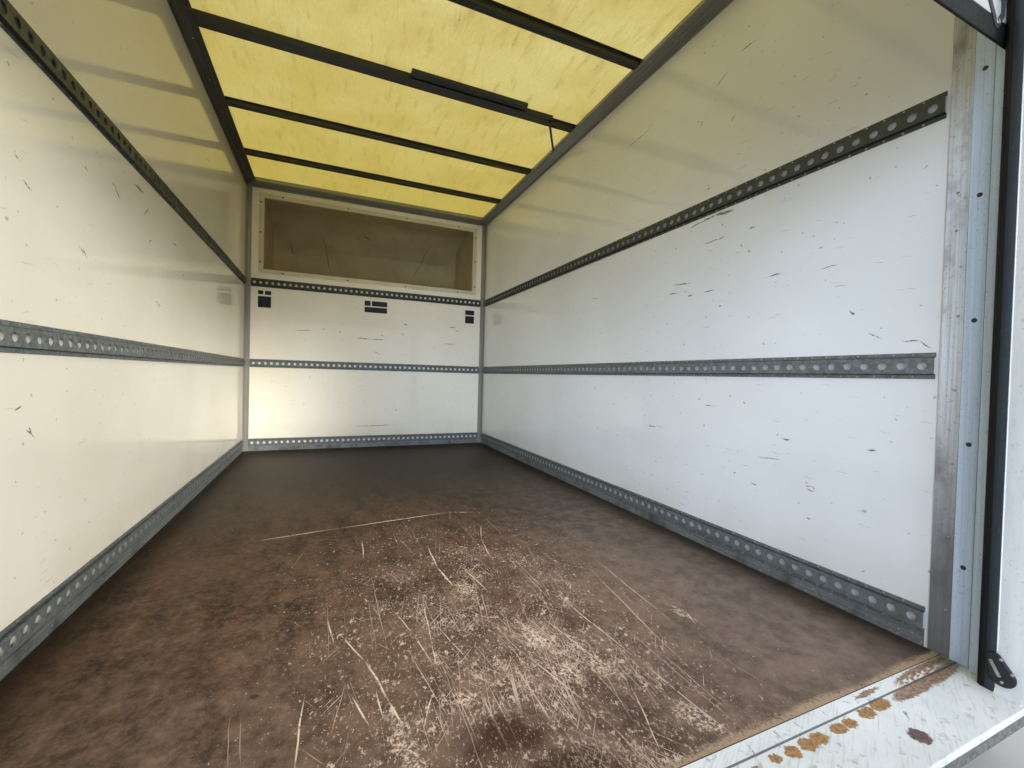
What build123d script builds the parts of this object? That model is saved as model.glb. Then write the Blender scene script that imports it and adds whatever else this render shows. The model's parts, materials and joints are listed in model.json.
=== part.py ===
from build123d import *
import math
import os

# Load box body of a box truck: floor, walls, roof, over-cab pod, rear portal and roller shutter.
# Millimetres. +Y points to the cab, +X is the right-hand wall seen from the rear, +Z is up.
# The origin is under the middle of the body, on the plane of the runners' feet.

# Overall sizes of the load space
LOAD_WIDTH = 2352
LOAD_LENGTH = 4056
LOAD_HEIGHT = 2545
POD_LENGTH = 930

# Wall, floor and roof thicknesses, and the joints of the floor boards from the rear and the middle
PANEL = 20
FLOOR_THICK = 21
ROOF_THICK = 2
SHELL_THICK = 5
SECTION_WALL = 4
EDGE_RADIUS = 3.6
END_GAP = 1
SEAM = 1.2
CROSS_SEAM = 1625
LENGTH_SEAM = 250

# Underframe
RUNNER_HEIGHT = 100
RUNNER_WIDTH = 50
RUNNER_WALL = 5
RUNNER_SPACING = 860
RUNNER_SETBACK = 40
RUNNER_OVERHANG = 60
BEARER_HEIGHT = 70
BEARER_WIDTH = 45
BEARER_COUNT = 11
BEARER_END = 60
CROSS_MEMBER_DEPTH = 50
CROSS_MEMBER_LIP = 30
CLEAT_LENGTH = 140
CLEAT_FOOT = 75
CLEAT_HEIGHT = 80
CLEAT_THICK = 8
CLEAT_HOLE = 14.5
CLEAT_HOLE_PITCH = 80
CLEAT_COUNT = 4
CLEAT_END = 320

# Rear portal
SILL_DEPTH = 188
SILL_LIP = 14
SILL_GROOVE = 35
GROOVE_HALF = 2
POST_DEPTH = 56
POST_WIDTH = 96
POST_WRAP = 34
POST_RADIUS = 9
FOOT_RADIUS = 14
RAVE_HEIGHT = 46
HEADER_DEPTH = 309
CAP_WIDTH = 48
CAP_THICK = 3
CAP_GAP = 1

# Upper and lower rails of the walls
RAIL_DEPTH = 75
RAIL_LEDGE = 80
RAIL_SEAT = 18
RAIL_TIP = 20
RAIL_TIP_THICK = 6
RAIL_BAND = 14
RAIL_GROOVE = 1.5
RAIL_SHOULDER = 12
RAIL_HEAD_WALL = 6
RAIL_LAP = 60
RAVE_LAP = 50
RAVE_FOOT = 16
PANEL_GAP = 12
ROOF_INSET = 8
CORNER_LEG = 45
CORNER_RADIUS = 20
ANGLE_THICK = 3

# Roof bows: distance of each bow's middle from the front wall
BOW_HEIGHT = 33
BOW_WIDTH = 40
BOW_FLANGE = 14
BOW_WALL = 2
BOW_PLACES = (585, 1290, 2005, 2697, 3380)

# Perforated tie rails: height of each rail's middle over the floor
TIE_RAIL_LEVELS = (79, 831, 1589)
TIE_RAIL_HEIGHT = 78
TIE_RAIL_DEPTH = 12
TIE_RAIL_FLANGE = 12
TIE_RAIL_WALL = 2
TIE_RAIL_SLOPE = 3
TIE_RAIL_GAP = 9
KICK_HEIGHT = 39
KICK_THICK = 3

# Pod over the cab: its opening's distances from side walls, floor and top rail, and its form
POD_OPENING_SIDE = 145
POD_OPENING_BOTTOM = 1720
POD_OPENING_DROP = 81
POD_FRAME_WIDTH = 42
POD_FRAME_THICK = 3
POD_SIDE_STEP = 76
POD_NOSE_TAPER = 100
POD_BOTTOM = 1655
POD_FLANGE = 30
POD_CROWN = 470
POD_CROWN_FALL = 24
POD_CROWN_RADIUS = 300
POD_NOSE_RADIUS = 280
POD_STEPS = 6

# Rounded corners of the pod seen from the side: forward of the wall, above its underside, radius
POD_CORNERS = ((700, 30, 150), (930, 240, 120), (930, 450, 230))

# Roller shutter
SLAT_PITCH = 38
SLAT_THICK = 7
SLAT_BOW = 1.5
SLAT_JOINT = 4
SLAT_CLEAR = 2
GUIDE_LIP = 15
GUIDE_BACK = 3
GUIDE_FLANGE = 45
GUIDE_FLANGE_THICK = 5
GUIDE_LEG_FRONT = 18
GUIDE_LEG_REAR = 8
SEAL_DEPTH = 28
SEAL_CHAMFER = 8
SHUTTER_CLEAR = 7
SHUTTER_OPEN = 1647
BOTTOM_BAR_HEIGHT = 45
BOTTOM_BAR_HALF = 6
BOTTOM_BAR_INSET = 8
RUBBER_HEIGHT = 54
RUBBER_BULB = 16
RUBBER_TIP_HALF = 3
COIL_RADIUS = 118
COIL_FALL = 6
DRUM_RADIUS = 60
SHAFT_RADIUS = 15
COIL_SIDES = 20
COIL_TOP_GAP = 18
BRACKET_THICK = 6
BRACKET_REACH = 60

# Small fittings
CLEAT_PLATE_RADIUS = 25
CLEAT_PLATE_TIP = 13
CLEAT_PLATE_LIFT = 49
CLEAT_PLATE_RISE = 41
CLEAT_PLATE_LEAN = 15
CLEAT_PLATE_THICK = 8
CLEAT_PLATE_EDGE = 18
STRAP_THICK = 2
LAMP_BOW = 2
LAMP_START = -40
LAMP_LENGTH = 745
LAMP_WIDTH = 50
LAMP_HEIGHT = 24
TRUNK_DEPTH = 40
TRUNK_SHORT = 199
TRUNK_WALL = 2
CONDUIT_RADIUS = 8
CONDUIT_RUN = 320
MARKER_LENGTH = 100
MARKER_HEIGHT = 32
MARKER_DEPTH = 16
MARKER_DROP = 40
MARKER_COUNT = 3
MARKER_END = 490
REAR_MARKER_SIDE = 150
REAR_MARKER_DROP = 60

# Pull strap, a webbing loop: in from the curtain's end, and up from the rubber's lower edge
STRAP_OUTSIDE = ((155, 152), (64, 152), (64, 66), (94, 26), (108, 26), (155, 88))
STRAP_INSIDE = ((139, 136), (80, 136), (80, 72), (101, 44), (139, 94))

# Places that follow from the sizes above
HALF = LOAD_WIDTH / 2
OUTER = HALF + PANEL
SKIN = OUTER + SECTION_WALL
BODY_LENGTH = MARKER_DEPTH + SILL_DEPTH + LOAD_LENGTH + PANEL + POD_LENGTH
REAR = MARKER_DEPTH - BODY_LENGTH / 2
FLOOR_REAR = REAR + SILL_DEPTH
FRONT = FLOOR_REAR + LOAD_LENGTH
POST_FRONT = REAR + POST_DEPTH
FLOOR = RUNNER_HEIGHT + BEARER_HEIGHT + FLOOR_THICK
FLOOR_UNDER = FLOOR - FLOOR_THICK
BEARER_UNDER = FLOOR_UNDER - BEARER_HEIGHT
ROOF = FLOOR + LOAD_HEIGHT
BAND = ROOF - RAIL_DEPTH
LEDGE = ROOF - BOW_HEIGHT
PANEL_TOP = LEDGE - PANEL_GAP
RAVE_UNDER = BEARER_UNDER - SECTION_WALL
DOOR_TOP = ROOF - HEADER_DEPTH
POST_INNER = SKIN - POST_WIDTH
SEAT = HALF - RAIL_LEDGE + RAIL_SEAT
GUIDE_SLOT = SLAT_THICK + 2 * (SLAT_BOW + SLAT_CLEAR)
GUIDE_REAR = POST_FRONT + SEAL_DEPTH
GUIDE_FRONT = GUIDE_REAR + GUIDE_LEG_REAR + GUIDE_SLOT + GUIDE_LEG_FRONT + GUIDE_FLANGE
CAP_REAR = GUIDE_FRONT + CAP_GAP
TIE_RAIL_REAR = CAP_REAR + CAP_WIDTH + TIE_RAIL_GAP

os.makedirs("parts", exist_ok=True)


def save(name, shapes):
    """Write one node; several solids of a node do not touch."""
    solids = list(shapes) if isinstance(shapes, (list, tuple)) else [shapes]
    whole = solids[0] if len(solids) == 1 else Compound(children=solids)
    export_step(whole, f"parts/{name}.step")


def along_x(points, start, end):
    """Extrude an outline of (y, z) points from x = start to x = end."""
    plane = Plane(origin=(start, 0, 0), x_dir=(0, 1, 0), z_dir=(1, 0, 0))
    return extrude(plane * make_face(Polyline(*points, close=True)), amount=end - start)


def along_y(points, start, end):
    """Extrude an outline of (x, z) points from y = start to y = end."""
    plane = Plane(origin=(0, end, 0), x_dir=(1, 0, 0), z_dir=(0, -1, 0))
    return extrude(plane * make_face(Polyline(*points, close=True)), amount=end - start)


def along_z(points, start, end):
    """Extrude an outline of (x, y) points from z = start to z = end."""
    plane = Plane(origin=(0, 0, start))
    return extrude(plane * make_face(Polyline(*points, close=True)), amount=end - start)


def block(x, y, z):
    """A box between pairs of limits."""
    size = (x[1] - x[0], y[1] - y[0], z[1] - z[0])
    middle = ((x[0] + x[1]) / 2, (y[0] + y[1]) / 2, (z[0] + z[1]) / 2)
    return Pos(*middle) * Box(*size)


def other_side(shape):
    """The same piece on the left-hand wall."""
    return mirror(shape, about=Plane.YZ)


def both_sides(shapes):
    """Right-hand pieces together with their mirror images."""
    pieces = shapes if isinstance(shapes, list) else [shapes]
    return pieces + [other_side(piece) for piece in pieces]


def save_pair(name, right):
    """Write a right-hand piece and its mirror image as two nodes."""
    save(f"{name}_right", right)
    save(f"{name}_left", other_side(right))


def spread(count, end):
    """Evenly spaced places along the floor, the outer ones at the distance end from its edges."""
    first = FLOOR_REAR + end
    step = (LOAD_LENGTH - 2 * end) / (count - 1)
    return [first + step * index for index in range(count)]


def channel_outline(left, right, bottom, top, wall, opens):
    """A C section; opens is +1 when its open side looks along the first axis."""
    if opens < 0:
        left, right = right, left
    inner = left + wall * opens
    return [
        (right, bottom), (left, bottom), (left, top), (right, top),
        (right, top - wall), (inner, top - wall), (inner, bottom + wall), (right, bottom + wall),
    ]


def hat_outline(width, height, flange, wall):
    """A hat section as (across, out of the wall) points, its open side on the wall."""
    half = height / 2
    crown = half - flange
    slope = TIE_RAIL_SLOPE
    return [
        (-half, 0), (-half, wall), (-crown, wall), (-crown + slope, width), (crown - slope, width),
        (crown, wall), (half, wall), (half, 0), (crown - wall, 0),
        (crown - slope - wall, width - wall), (-crown + slope + wall, width - wall), (-crown + wall, 0),
    ]


def floor():
    """Phenolic-faced plywood boards: one at the front and two at the rear, with open seams."""
    cross = FLOOR_REAR + CROSS_SEAM
    depth = (FLOOR_UNDER, FLOOR)
    save("floor_boards", [
        block((-HALF, HALF), (cross + SEAM, FRONT), depth),
        block((-HALF, LENGTH_SEAM), (FLOOR_REAR, cross), depth),
        block((LENGTH_SEAM + SEAM, HALF), (FLOOR_REAR, cross), depth),
    ])


def underframe():
    """Cross bearers on two longitudinal runners with bolt-down cleats."""
    bearers = []
    for y in spread(BEARER_COUNT, BEARER_END):
        outline = channel_outline(y - BEARER_WIDTH / 2, y + BEARER_WIDTH / 2, BEARER_UNDER, FLOOR_UNDER,
                                  SECTION_WALL, 1)
        bearers.append(along_x(outline, -HALF + PANEL, HALF - PANEL))
    save("cross_bearers", bearers)
    lap = SECTION_WALL
    rear = FLOOR_REAR - CROSS_MEMBER_DEPTH
    lip = FLOOR_REAR + CROSS_MEMBER_LIP
    rear_outline = [
        (rear, BEARER_UNDER), (FLOOR_REAR + lap, BEARER_UNDER), (FLOOR_REAR + lap, BEARER_UNDER + lap),
        (rear + lap, BEARER_UNDER + lap), (rear + lap, FLOOR - 2 * lap), (FLOOR_REAR - lap, FLOOR - 2 * lap),
        (FLOOR_REAR - lap, FLOOR_UNDER - lap), (lip, FLOOR_UNDER - lap), (lip, FLOOR_UNDER),
        (FLOOR_REAR, FLOOR_UNDER), (FLOOR_REAR, FLOOR - lap), (rear, FLOOR - lap),
    ]
    save("rear_cross_member", along_x(rear_outline, -HALF + PANEL, HALF - PANEL))
    middle = RUNNER_SPACING / 2
    runner = along_y(
        channel_outline(middle - RUNNER_WIDTH / 2, middle + RUNNER_WIDTH / 2, 0, RUNNER_HEIGHT,
                        RUNNER_WALL, -1),
        FLOOR_REAR - RUNNER_OVERHANG, FRONT - RUNNER_SETBACK)
    save("runners", both_sides(runner))
    web = middle + RUNNER_WIDTH / 2
    cleats = []
    for y in spread(CLEAT_COUNT, CLEAT_END):
        angle = along_y(
            [(web, 0), (web + CLEAT_FOOT, 0), (web + CLEAT_FOOT, CLEAT_THICK),
             (web + CLEAT_THICK, CLEAT_THICK), (web + CLEAT_THICK, CLEAT_HEIGHT), (web, CLEAT_HEIGHT)],
            y - CLEAT_LENGTH / 2, y + CLEAT_LENGTH / 2)
        for offset in (-CLEAT_HOLE_PITCH / 2, CLEAT_HOLE_PITCH / 2):
            place = (web + CLEAT_THICK + (CLEAT_FOOT - CLEAT_THICK) / 2, y + offset, CLEAT_THICK / 2)
            angle -= Pos(*place) * Cylinder(CLEAT_HOLE / 2, 2 * CLEAT_THICK)
        cleats.append(angle)
    save("runner_cleats", both_sides(cleats))


def walls():
    """Side and front panels; the front one has the opening into the pod."""
    side = block((HALF, OUTER), (POST_FRONT, FRONT), (FLOOR_UNDER, PANEL_TOP))
    save_pair("side_panel", side)
    front = block((-HALF, HALF), (FRONT, FRONT + PANEL), (FLOOR_UNDER, PANEL_TOP))
    half = HALF - POD_OPENING_SIDE
    opening = (FLOOR + POD_OPENING_BOTTOM, BAND - POD_OPENING_DROP)
    front -= block((-half, half), (FRONT, FRONT + PANEL), opening)
    save("front_panel", front)


def lower_rail_outline(wall_face, out):
    """Lower rail: lap over the panel, ledge under panel and floor edge, foot under the bearers."""
    face = wall_face + out * PANEL
    skin = face + out * SECTION_WALL
    inner = wall_face - out * PANEL
    return [
        (inner, FLOOR_UNDER), (inner, FLOOR_UNDER - SECTION_WALL), (face, FLOOR_UNDER - SECTION_WALL),
        (face, BEARER_UNDER), (inner - out * RAVE_FOOT, BEARER_UNDER), (inner - out * RAVE_FOOT, RAVE_UNDER),
        (skin, RAVE_UNDER), (skin, FLOOR + RAVE_LAP), (face, FLOOR + RAVE_LAP), (face, FLOOR_UNDER),
    ]


def upper_rail(wall_face, out, lap_bottom, extrude_along, start, end):
    """Upper rail: inner band, coved underside with a groove at each end, bow seat and hollow head."""
    face = wall_face + out * PANEL
    skin = face + out * SECTION_WALL
    inner = wall_face - out * SECTION_WALL
    tip = wall_face - out * RAIL_LEDGE
    tip_end = tip + out * RAIL_TIP
    head = tip + out * RAIL_SEAT
    under = LEDGE - RAIL_TIP_THICK
    groove = RAIL_GROOVE
    lower = BAND + RAIL_BAND
    outline = [
        (wall_face, PANEL_TOP), (wall_face, BAND), (inner, BAND), (inner, lower),
        (inner + out * groove, lower + groove), (inner - out * groove, lower + 2 * groove),
        (tip_end + out * groove, under), (tip_end, under + groove), (tip_end - out * groove, under),
        (tip, under), (tip, LEDGE), (head, LEDGE), (head, ROOF), (face - out * ROOF_INSET, ROOF),
        (skin, ROOF - RAIL_SHOULDER), (skin, lap_bottom),
    ]
    if lap_bottom < PANEL_TOP:
        outline.append((face, lap_bottom))
    outline.append((face, PANEL_TOP))
    rail = extrude_along(outline, start, end)
    near = head + out * SECTION_WALL
    far = face - out * RAIL_HEAD_WALL
    room = [(near, LEDGE), (far, LEDGE), (far, ROOF - SECTION_WALL), (near, ROOF - SECTION_WALL)]
    return rail - extrude_along(room, start, end)


def rails():
    """Lower and upper rails, mitred at the front, corner posts, corner castings and inner angles."""
    save_pair("side_rave", along_y(lower_rail_outline(HALF, 1), POST_FRONT + POST_WRAP, FRONT - CORNER_LEG))
    save("front_lower_rail", along_x(lower_rail_outline(FRONT, 1), -HALF + CORNER_LEG, HALF - CORNER_LEG))
    wall = SECTION_WALL
    far = FRONT + PANEL + wall
    casting = block((HALF - CORNER_LEG, SKIN), (FRONT - CORNER_LEG, far), (PANEL_TOP, ROOF))
    near = (HALF - 2 * RAIL_LEDGE, FRONT - 2 * RAIL_LEDGE)
    height = (PANEL_TOP - RAIL_LAP, ROOF)
    side_rail = upper_rail(HALF, 1, height[0], along_y, POST_FRONT, FRONT)
    side_rail -= block((HALF, SKIN), (FRONT - CORNER_LEG, FRONT), height)
    side_rail -= along_z([(HALF, FRONT), near, (near[0], FRONT)], *height)
    save_pair("cant_rail", side_rail - casting)
    cut = along_z([(HALF, FRONT), (near[0] - END_GAP, near[1]), (HALF, near[1])], *height)
    front_rail = upper_rail(FRONT, 1, PANEL_TOP, along_x, -HALF, HALF)
    for piece in both_sides([cut, casting]):
        front_rail -= piece
    save("front_top_rail", front_rail)
    outline = [
        (HALF, FRONT), (OUTER, FRONT), (OUTER, FRONT - CORNER_LEG), (SKIN, FRONT - CORNER_LEG), (SKIN, far),
        (HALF - CORNER_LEG, far), (HALF - CORNER_LEG, far - wall), (HALF, far - wall),
    ]
    post = along_z(outline, RAVE_UNDER, PANEL_TOP)
    outer_edge = post.edges().filter_by(Axis.Z).sort_by(lambda edge: edge.center().X + edge.center().Y)[-1]
    save("front_corner_posts", both_sides(fillet(outer_edge, CORNER_RADIUS)))
    outer_edge = casting.edges().filter_by(Axis.Z).sort_by(lambda edge: edge.center().X + edge.center().Y)[-1]
    save("roof_corner_castings", both_sides(fillet(outer_edge, CORNER_RADIUS)))
    inner = ANGLE_THICK
    angle = [
        (HALF - CORNER_LEG, FRONT), (HALF - CORNER_LEG, FRONT - inner), (HALF - inner, FRONT - inner),
        (HALF - inner, FRONT - CORNER_LEG), (HALF, FRONT - CORNER_LEG), (HALF, FRONT),
    ]
    save("front_inner_angles", both_sides(along_z(angle, FLOOR, BAND)))


def roof():
    """Translucent sheet over hat-section bows that stand on the cant rails' ledges."""
    half = OUTER - ROOF_INSET
    along = (REAR + RAIL_SHOULDER, FRONT + PANEL - ROOF_INSET)
    save("roof_sheet", block((-half, half), along, (ROOF, ROOF + ROOF_THICK)))
    end = SEAT - END_GAP
    bows = []
    for distance in BOW_PLACES:
        y = FRONT - distance
        half_bow = BOW_WIDTH / 2
        lip = half_bow + BOW_FLANGE
        wall = BOW_WALL
        outline = [
            (y - lip, ROOF), (y - lip, ROOF - wall), (y - half_bow, ROOF - wall), (y - half_bow, LEDGE),
            (y + half_bow, LEDGE), (y + half_bow, ROOF - wall), (y + lip, ROOF - wall), (y + lip, ROOF),
            (y + half_bow - wall, ROOF), (y + half_bow - wall, LEDGE + wall),
            (y - half_bow + wall, LEDGE + wall), (y - half_bow + wall, ROOF),
        ]
        bows.append(along_x(outline, -end, end))
    save("roof_bows", bows)


def tie_rails():
    """Perforated rails on three walls, and the kick strips under the lowest ones."""
    hat = hat_outline(TIE_RAIL_DEPTH, TIE_RAIL_HEIGHT, TIE_RAIL_FLANGE, TIE_RAIL_WALL)
    rear_end = TIE_RAIL_REAR
    front_end = FRONT - CORNER_LEG - END_GAP
    side_rails = []
    front_rails = []
    end = HALF - CORNER_LEG - END_GAP
    for level in TIE_RAIL_LEVELS:
        side = [(HALF - out, FLOOR + level + across) for across, out in hat]
        side_rails.append(along_y(side, rear_end, front_end))
        front = [(FRONT - out, FLOOR + level + across) for across, out in hat]
        front_rails.append(along_x(front, -end, end))
    save("tie_rails_right", side_rails)
    save("tie_rails_left", [other_side(rail) for rail in side_rails])
    save("tie_rails_front", front_rails)
    height = (FLOOR, FLOOR + KICK_HEIGHT)
    strip = block((HALF - KICK_THICK, HALF), (rear_end, front_end), height)
    save("kick_strips", both_sides(strip) + [block((-end, end), (FRONT - KICK_THICK, FRONT), height)])


def rounded(corners):
    """Outline from (across, up, radius) corners, each rounding drawn as short straight pieces."""
    points = []
    for index, (across, up, radius) in enumerate(corners):
        corner = Vector(across, up)
        before = (Vector(*corners[index - 1][:2]) - corner).normalized()
        after = (Vector(*corners[(index + 1) % len(corners)][:2]) - corner).normalized()
        if not radius:
            points.append((across, up))
            continue
        half_angle = math.radians(before.get_angle(after)) / 2
        middle = corner + (before + after).normalized() * (radius / math.sin(half_angle))
        start = corner + before * (radius / math.tan(half_angle)) - middle
        end = corner + after * (radius / math.tan(half_angle)) - middle
        for step in range(POD_STEPS + 1):
            share = step / POD_STEPS
            sweep = math.pi - 2 * half_angle
            arm = start * math.sin((1 - share) * sweep) + end * math.sin(share * sweep)
            spot = middle + arm * (1 / math.sin(sweep))
            points.append((spot.X, spot.Y))
    return points


def pod_form(inset):
    """The pod's outer form, or the same form drawn in by the shell's thickness."""
    back = FRONT + PANEL
    low = FLOOR + POD_BOTTOM
    nose = back + POD_LENGTH - inset
    top = PANEL_TOP - POD_FLANGE - inset
    side = [(back - inset, low + inset, 0)]
    for ahead, up, radius in POD_CORNERS:
        side.append((min(back + ahead, nose), low + up + inset, radius - inset))
    side += [(back + POD_CROWN, top - POD_CROWN_FALL, POD_CROWN_RADIUS - inset), (back - inset, top, 0)]
    wide = HALF - POD_SIDE_STEP - inset
    nose_half = wide - POD_NOSE_TAPER
    form = along_x(rounded(side), -wide, wide)
    bend = POD_NOSE_RADIUS - inset
    back -= inset
    plan = [(-wide, back, 0), (wide, back, 0), (nose_half, nose, bend), (-nose_half, nose, bend)]
    return form & along_z(rounded(plan), low, PANEL_TOP)


def pod():
    """Moulded shell over the cab, open to the load space, and the trim frame inside."""
    back = FRONT + PANEL
    reach = HALF - POD_SIDE_STEP + POD_FLANGE
    low = FLOOR + POD_BOTTOM
    flange = block((-reach, reach), (back, back + SHELL_THICK), (low - POD_FLANGE, PANEL_TOP - END_GAP))
    save("pod_shell", pod_form(0) + flange - pod_form(SHELL_THICK))
    half = HALF - POD_OPENING_SIDE
    low = FLOOR + POD_OPENING_BOTTOM
    high = BAND - POD_OPENING_DROP
    border = POD_FRAME_WIDTH
    depth = (FRONT - POD_FRAME_THICK, FRONT)
    frame = block((-half - border, half + border), depth, (low - border, high + border))
    frame -= block((-half, half), depth, (low, high))
    save("pod_frame", frame)


def portal():
    """Rear sill, rave, posts and header, and the caps over the wall ends."""
    wall = SECTION_WALL
    groove = FLOOR_REAR - SILL_GROOVE
    sill = along_x([
        (REAR, FLOOR), (REAR, FLOOR - SILL_LIP), (REAR + wall, FLOOR - SILL_LIP), (REAR + wall, FLOOR - wall),
        (FLOOR_REAR, FLOOR - wall), (FLOOR_REAR, FLOOR), (groove + GROOVE_HALF, FLOOR),
        (groove + GROOVE_HALF, FLOOR - wall / 2), (groove - GROOVE_HALF, FLOOR - wall / 2),
        (groove - GROOVE_HALF, FLOOR),
    ], -SKIN, SKIN)
    for side in (-1, 1):
        reach = sorted((side * HALF, side * SKIN))
        sill -= block(reach, (POST_FRONT, FLOOR_REAR), (FLOOR - wall, FLOOR))
    nose = sill.edges().filter_by(Axis.X).sort_by(lambda edge: edge.center().Z - edge.center().Y)[-1]
    save("rear_sill", fillet(nose, EDGE_RADIUS))
    top = FLOOR - wall
    rave = channel_outline(REAR + wall + END_GAP, POST_FRONT, top - RAVE_HEIGHT, top, wall, 1)
    save("rear_rave", along_x(rave, -SKIN, SKIN))
    save_pair("rear_post", rear_post())
    header = along_x(channel_outline(REAR, POST_FRONT, DOOR_TOP, ROOF, wall, 1), -SKIN, SKIN)
    top_edge = header.edges().filter_by(Axis.X).sort_by(lambda edge: edge.center().Y - edge.center().Z)[0]
    save("rear_header", fillet(top_edge, EDGE_RADIUS))
    cap = block((HALF - CAP_THICK, HALF), (CAP_REAR, CAP_REAR + CAP_WIDTH), (FLOOR, DOOR_TOP))
    save("wall_end_caps", both_sides(cap))


def rear_post():
    """Right-hand post: a folded hollow section wrapped round the wall's end, with a coved foot."""
    wall = SECTION_WALL
    outline = [
        (POST_INNER, REAR), (SKIN, REAR), (SKIN, POST_FRONT + POST_WRAP), (OUTER, POST_FRONT + POST_WRAP),
        (OUTER, POST_FRONT), (POST_INNER, POST_FRONT),
    ]
    post = along_z(outline, FLOOR, DOOR_TOP)
    rear_edges = post.edges().filter_by(Axis.Z).sort_by(lambda edge: edge.center().Y)[:2]
    post = fillet(rear_edges, POST_RADIUS)
    foot_height = (FLOOR, FLOOR + FOOT_RADIUS)
    foot = block((POST_INNER - FOOT_RADIUS, POST_INNER + wall), (REAR + POST_RADIUS, POST_FRONT), foot_height)
    middle = Pos(POST_INNER - FOOT_RADIUS, REAR, FLOOR + FOOT_RADIUS)
    post += foot - middle * Rot(90, 0, 0) * Cylinder(FOOT_RADIUS, 4 * POST_DEPTH)
    room = block((POST_INNER + wall, SKIN - wall), (REAR + wall, POST_FRONT - wall), (FLOOR, DOOR_TOP))
    rear_edges = room.edges().filter_by(Axis.Z).sort_by(lambda edge: edge.center().Y)[:2]
    return post - fillet(rear_edges, POST_RADIUS - wall)


def guides():
    """Shutter guides, the rubber seals behind them and the posts' cleats."""
    slot = GUIDE_REAR + GUIDE_LEG_REAR
    front_leg = slot + GUIDE_SLOT
    flange = front_leg + GUIDE_LEG_FRONT
    face = HALF - GUIDE_FLANGE_THICK
    back = HALF - GUIDE_BACK
    lip = back - GUIDE_LIP
    outline = [
        (HALF, GUIDE_REAR), (HALF, GUIDE_FRONT), (face, GUIDE_FRONT), (face, flange), (lip, flange),
        (lip, front_leg), (back, front_leg), (back, slot), (lip, slot), (lip, GUIDE_REAR),
    ]
    save("shutter_guides", both_sides(along_z(outline, FLOOR, DOOR_TOP)))
    seal_front = slot - END_GAP
    seal_side = lip - END_GAP
    seal = along_z([
        (HALF, POST_FRONT), (HALF, GUIDE_REAR), (seal_side, GUIDE_REAR), (seal_side, seal_front),
        (POST_INNER + SEAL_CHAMFER, seal_front), (POST_INNER, seal_front - SEAL_CHAMFER),
        (POST_INNER, POST_FRONT),
    ], FLOOR, DOOR_TOP)
    save("side_seals", both_sides(seal))
    middle = REAR + CLEAT_PLATE_EDGE + CLEAT_PLATE_RADIUS
    low = FLOOR + CLEAT_PLATE_LIFT
    lower = Pos(middle, low) * Circle(CLEAT_PLATE_RADIUS)
    upper = Pos(middle + CLEAT_PLATE_LEAN, low + CLEAT_PLATE_RISE) * Circle(CLEAT_PLATE_TIP)
    plate = make_hull(lower.edges() + upper.edges())
    side = Plane(origin=(POST_INNER, 0, 0), x_dir=(0, 1, 0), z_dir=(1, 0, 0))
    save("post_cleats", both_sides(extrude(side * plate, amount=-CLEAT_PLATE_THICK)))
    return slot + GUIDE_SLOT / 2


def shutter(plane_y):
    """Slatted curtain, bottom bar and rubber, coil on its drum, brackets and pull strap."""
    wide = HALF - GUIDE_BACK - SHUTTER_CLEAR
    low = FLOOR + SHUTTER_OPEN
    bottom = low + RUBBER_HEIGHT + BOTTOM_BAR_HEIGHT
    coil_y = plane_y + COIL_RADIUS + SLAT_THICK / 2
    coil_z = LEDGE - COIL_TOP_GAP - COIL_RADIUS - SLAT_THICK
    save("shutter_curtain", curtain(plane_y, wide, bottom, coil_z))
    narrow = wide - BOTTOM_BAR_INSET
    rear = plane_y - BOTTOM_BAR_HALF
    front = plane_y + BOTTOM_BAR_HALF
    bar = block((-narrow, narrow), (rear, front), (low + RUBBER_HEIGHT, bottom))
    save("shutter_bottom_bar", bar)
    rubber = along_x([
        (rear, low + RUBBER_HEIGHT), (rear, low + RUBBER_BULB), (plane_y - RUBBER_TIP_HALF, low),
        (plane_y + RUBBER_TIP_HALF, low), (front, low + RUBBER_BULB), (front, low + RUBBER_HEIGHT),
    ], -narrow, narrow)
    save("shutter_bottom_rubber", rubber)
    strap = [along_y([(wide - across, low + up) for across, up in table], rear - STRAP_THICK, rear)
             for table in (STRAP_OUTSIDE, STRAP_INSIDE)]
    save("pull_strap", strap[0] - strap[1])
    ring = []
    for index in range(COIL_SIDES):
        turn = 2 * math.pi * index / COIL_SIDES
        radius = COIL_RADIUS - COIL_FALL * index / COIL_SIDES
        ring.append((coil_y - radius * math.cos(turn), coil_z - radius * math.sin(turn)))
    axis = Pos(0, coil_y, coil_z) * Rot(0, 90, 0)
    save("shutter_coil", along_x(ring, -narrow, narrow) - axis * Cylinder(DRUM_RADIUS, 2 * HALF))
    drum = axis * Cylinder(DRUM_RADIUS, 2 * narrow)
    drum += axis * Cylinder(SHAFT_RADIUS, 2 * (HALF - BRACKET_THICK))
    save("shutter_drum", drum)
    plate = block((HALF - BRACKET_THICK, HALF), (POST_FRONT, coil_y + BRACKET_REACH), (DOOR_TOP, BAND))
    save("shutter_brackets", both_sides(plate))


def curtain(plane_y, wide, bottom, coil_middle):
    """Curtain from the bottom bar to past the coil's rearmost line, where it is wound on; bowed slats."""
    rear = plane_y - SLAT_THICK / 2
    front = plane_y + SLAT_THICK / 2
    count = int((coil_middle - bottom) // SLAT_PITCH) + 1
    top = bottom + count * SLAT_PITCH
    edges = [Line((front, bottom), (rear, bottom))]
    for index in range(count):
        low = bottom + index * SLAT_PITCH
        joint = low + SLAT_PITCH - SLAT_JOINT
        edges.append(ThreePointArc((rear, low), (rear - SLAT_BOW, (low + joint) / 2), (rear, joint)))
        edges.append(Line((rear, joint), (rear, low + SLAT_PITCH)))
    edges.append(Line((rear, top), (front, top)))
    edges.append(Line((front, top), (front, bottom)))
    section = Plane(origin=(-wide, 0, 0), x_dir=(0, 1, 0), z_dir=(1, 0, 0)) * make_face(edges)
    return extrude(section, amount=2 * wide)


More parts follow.
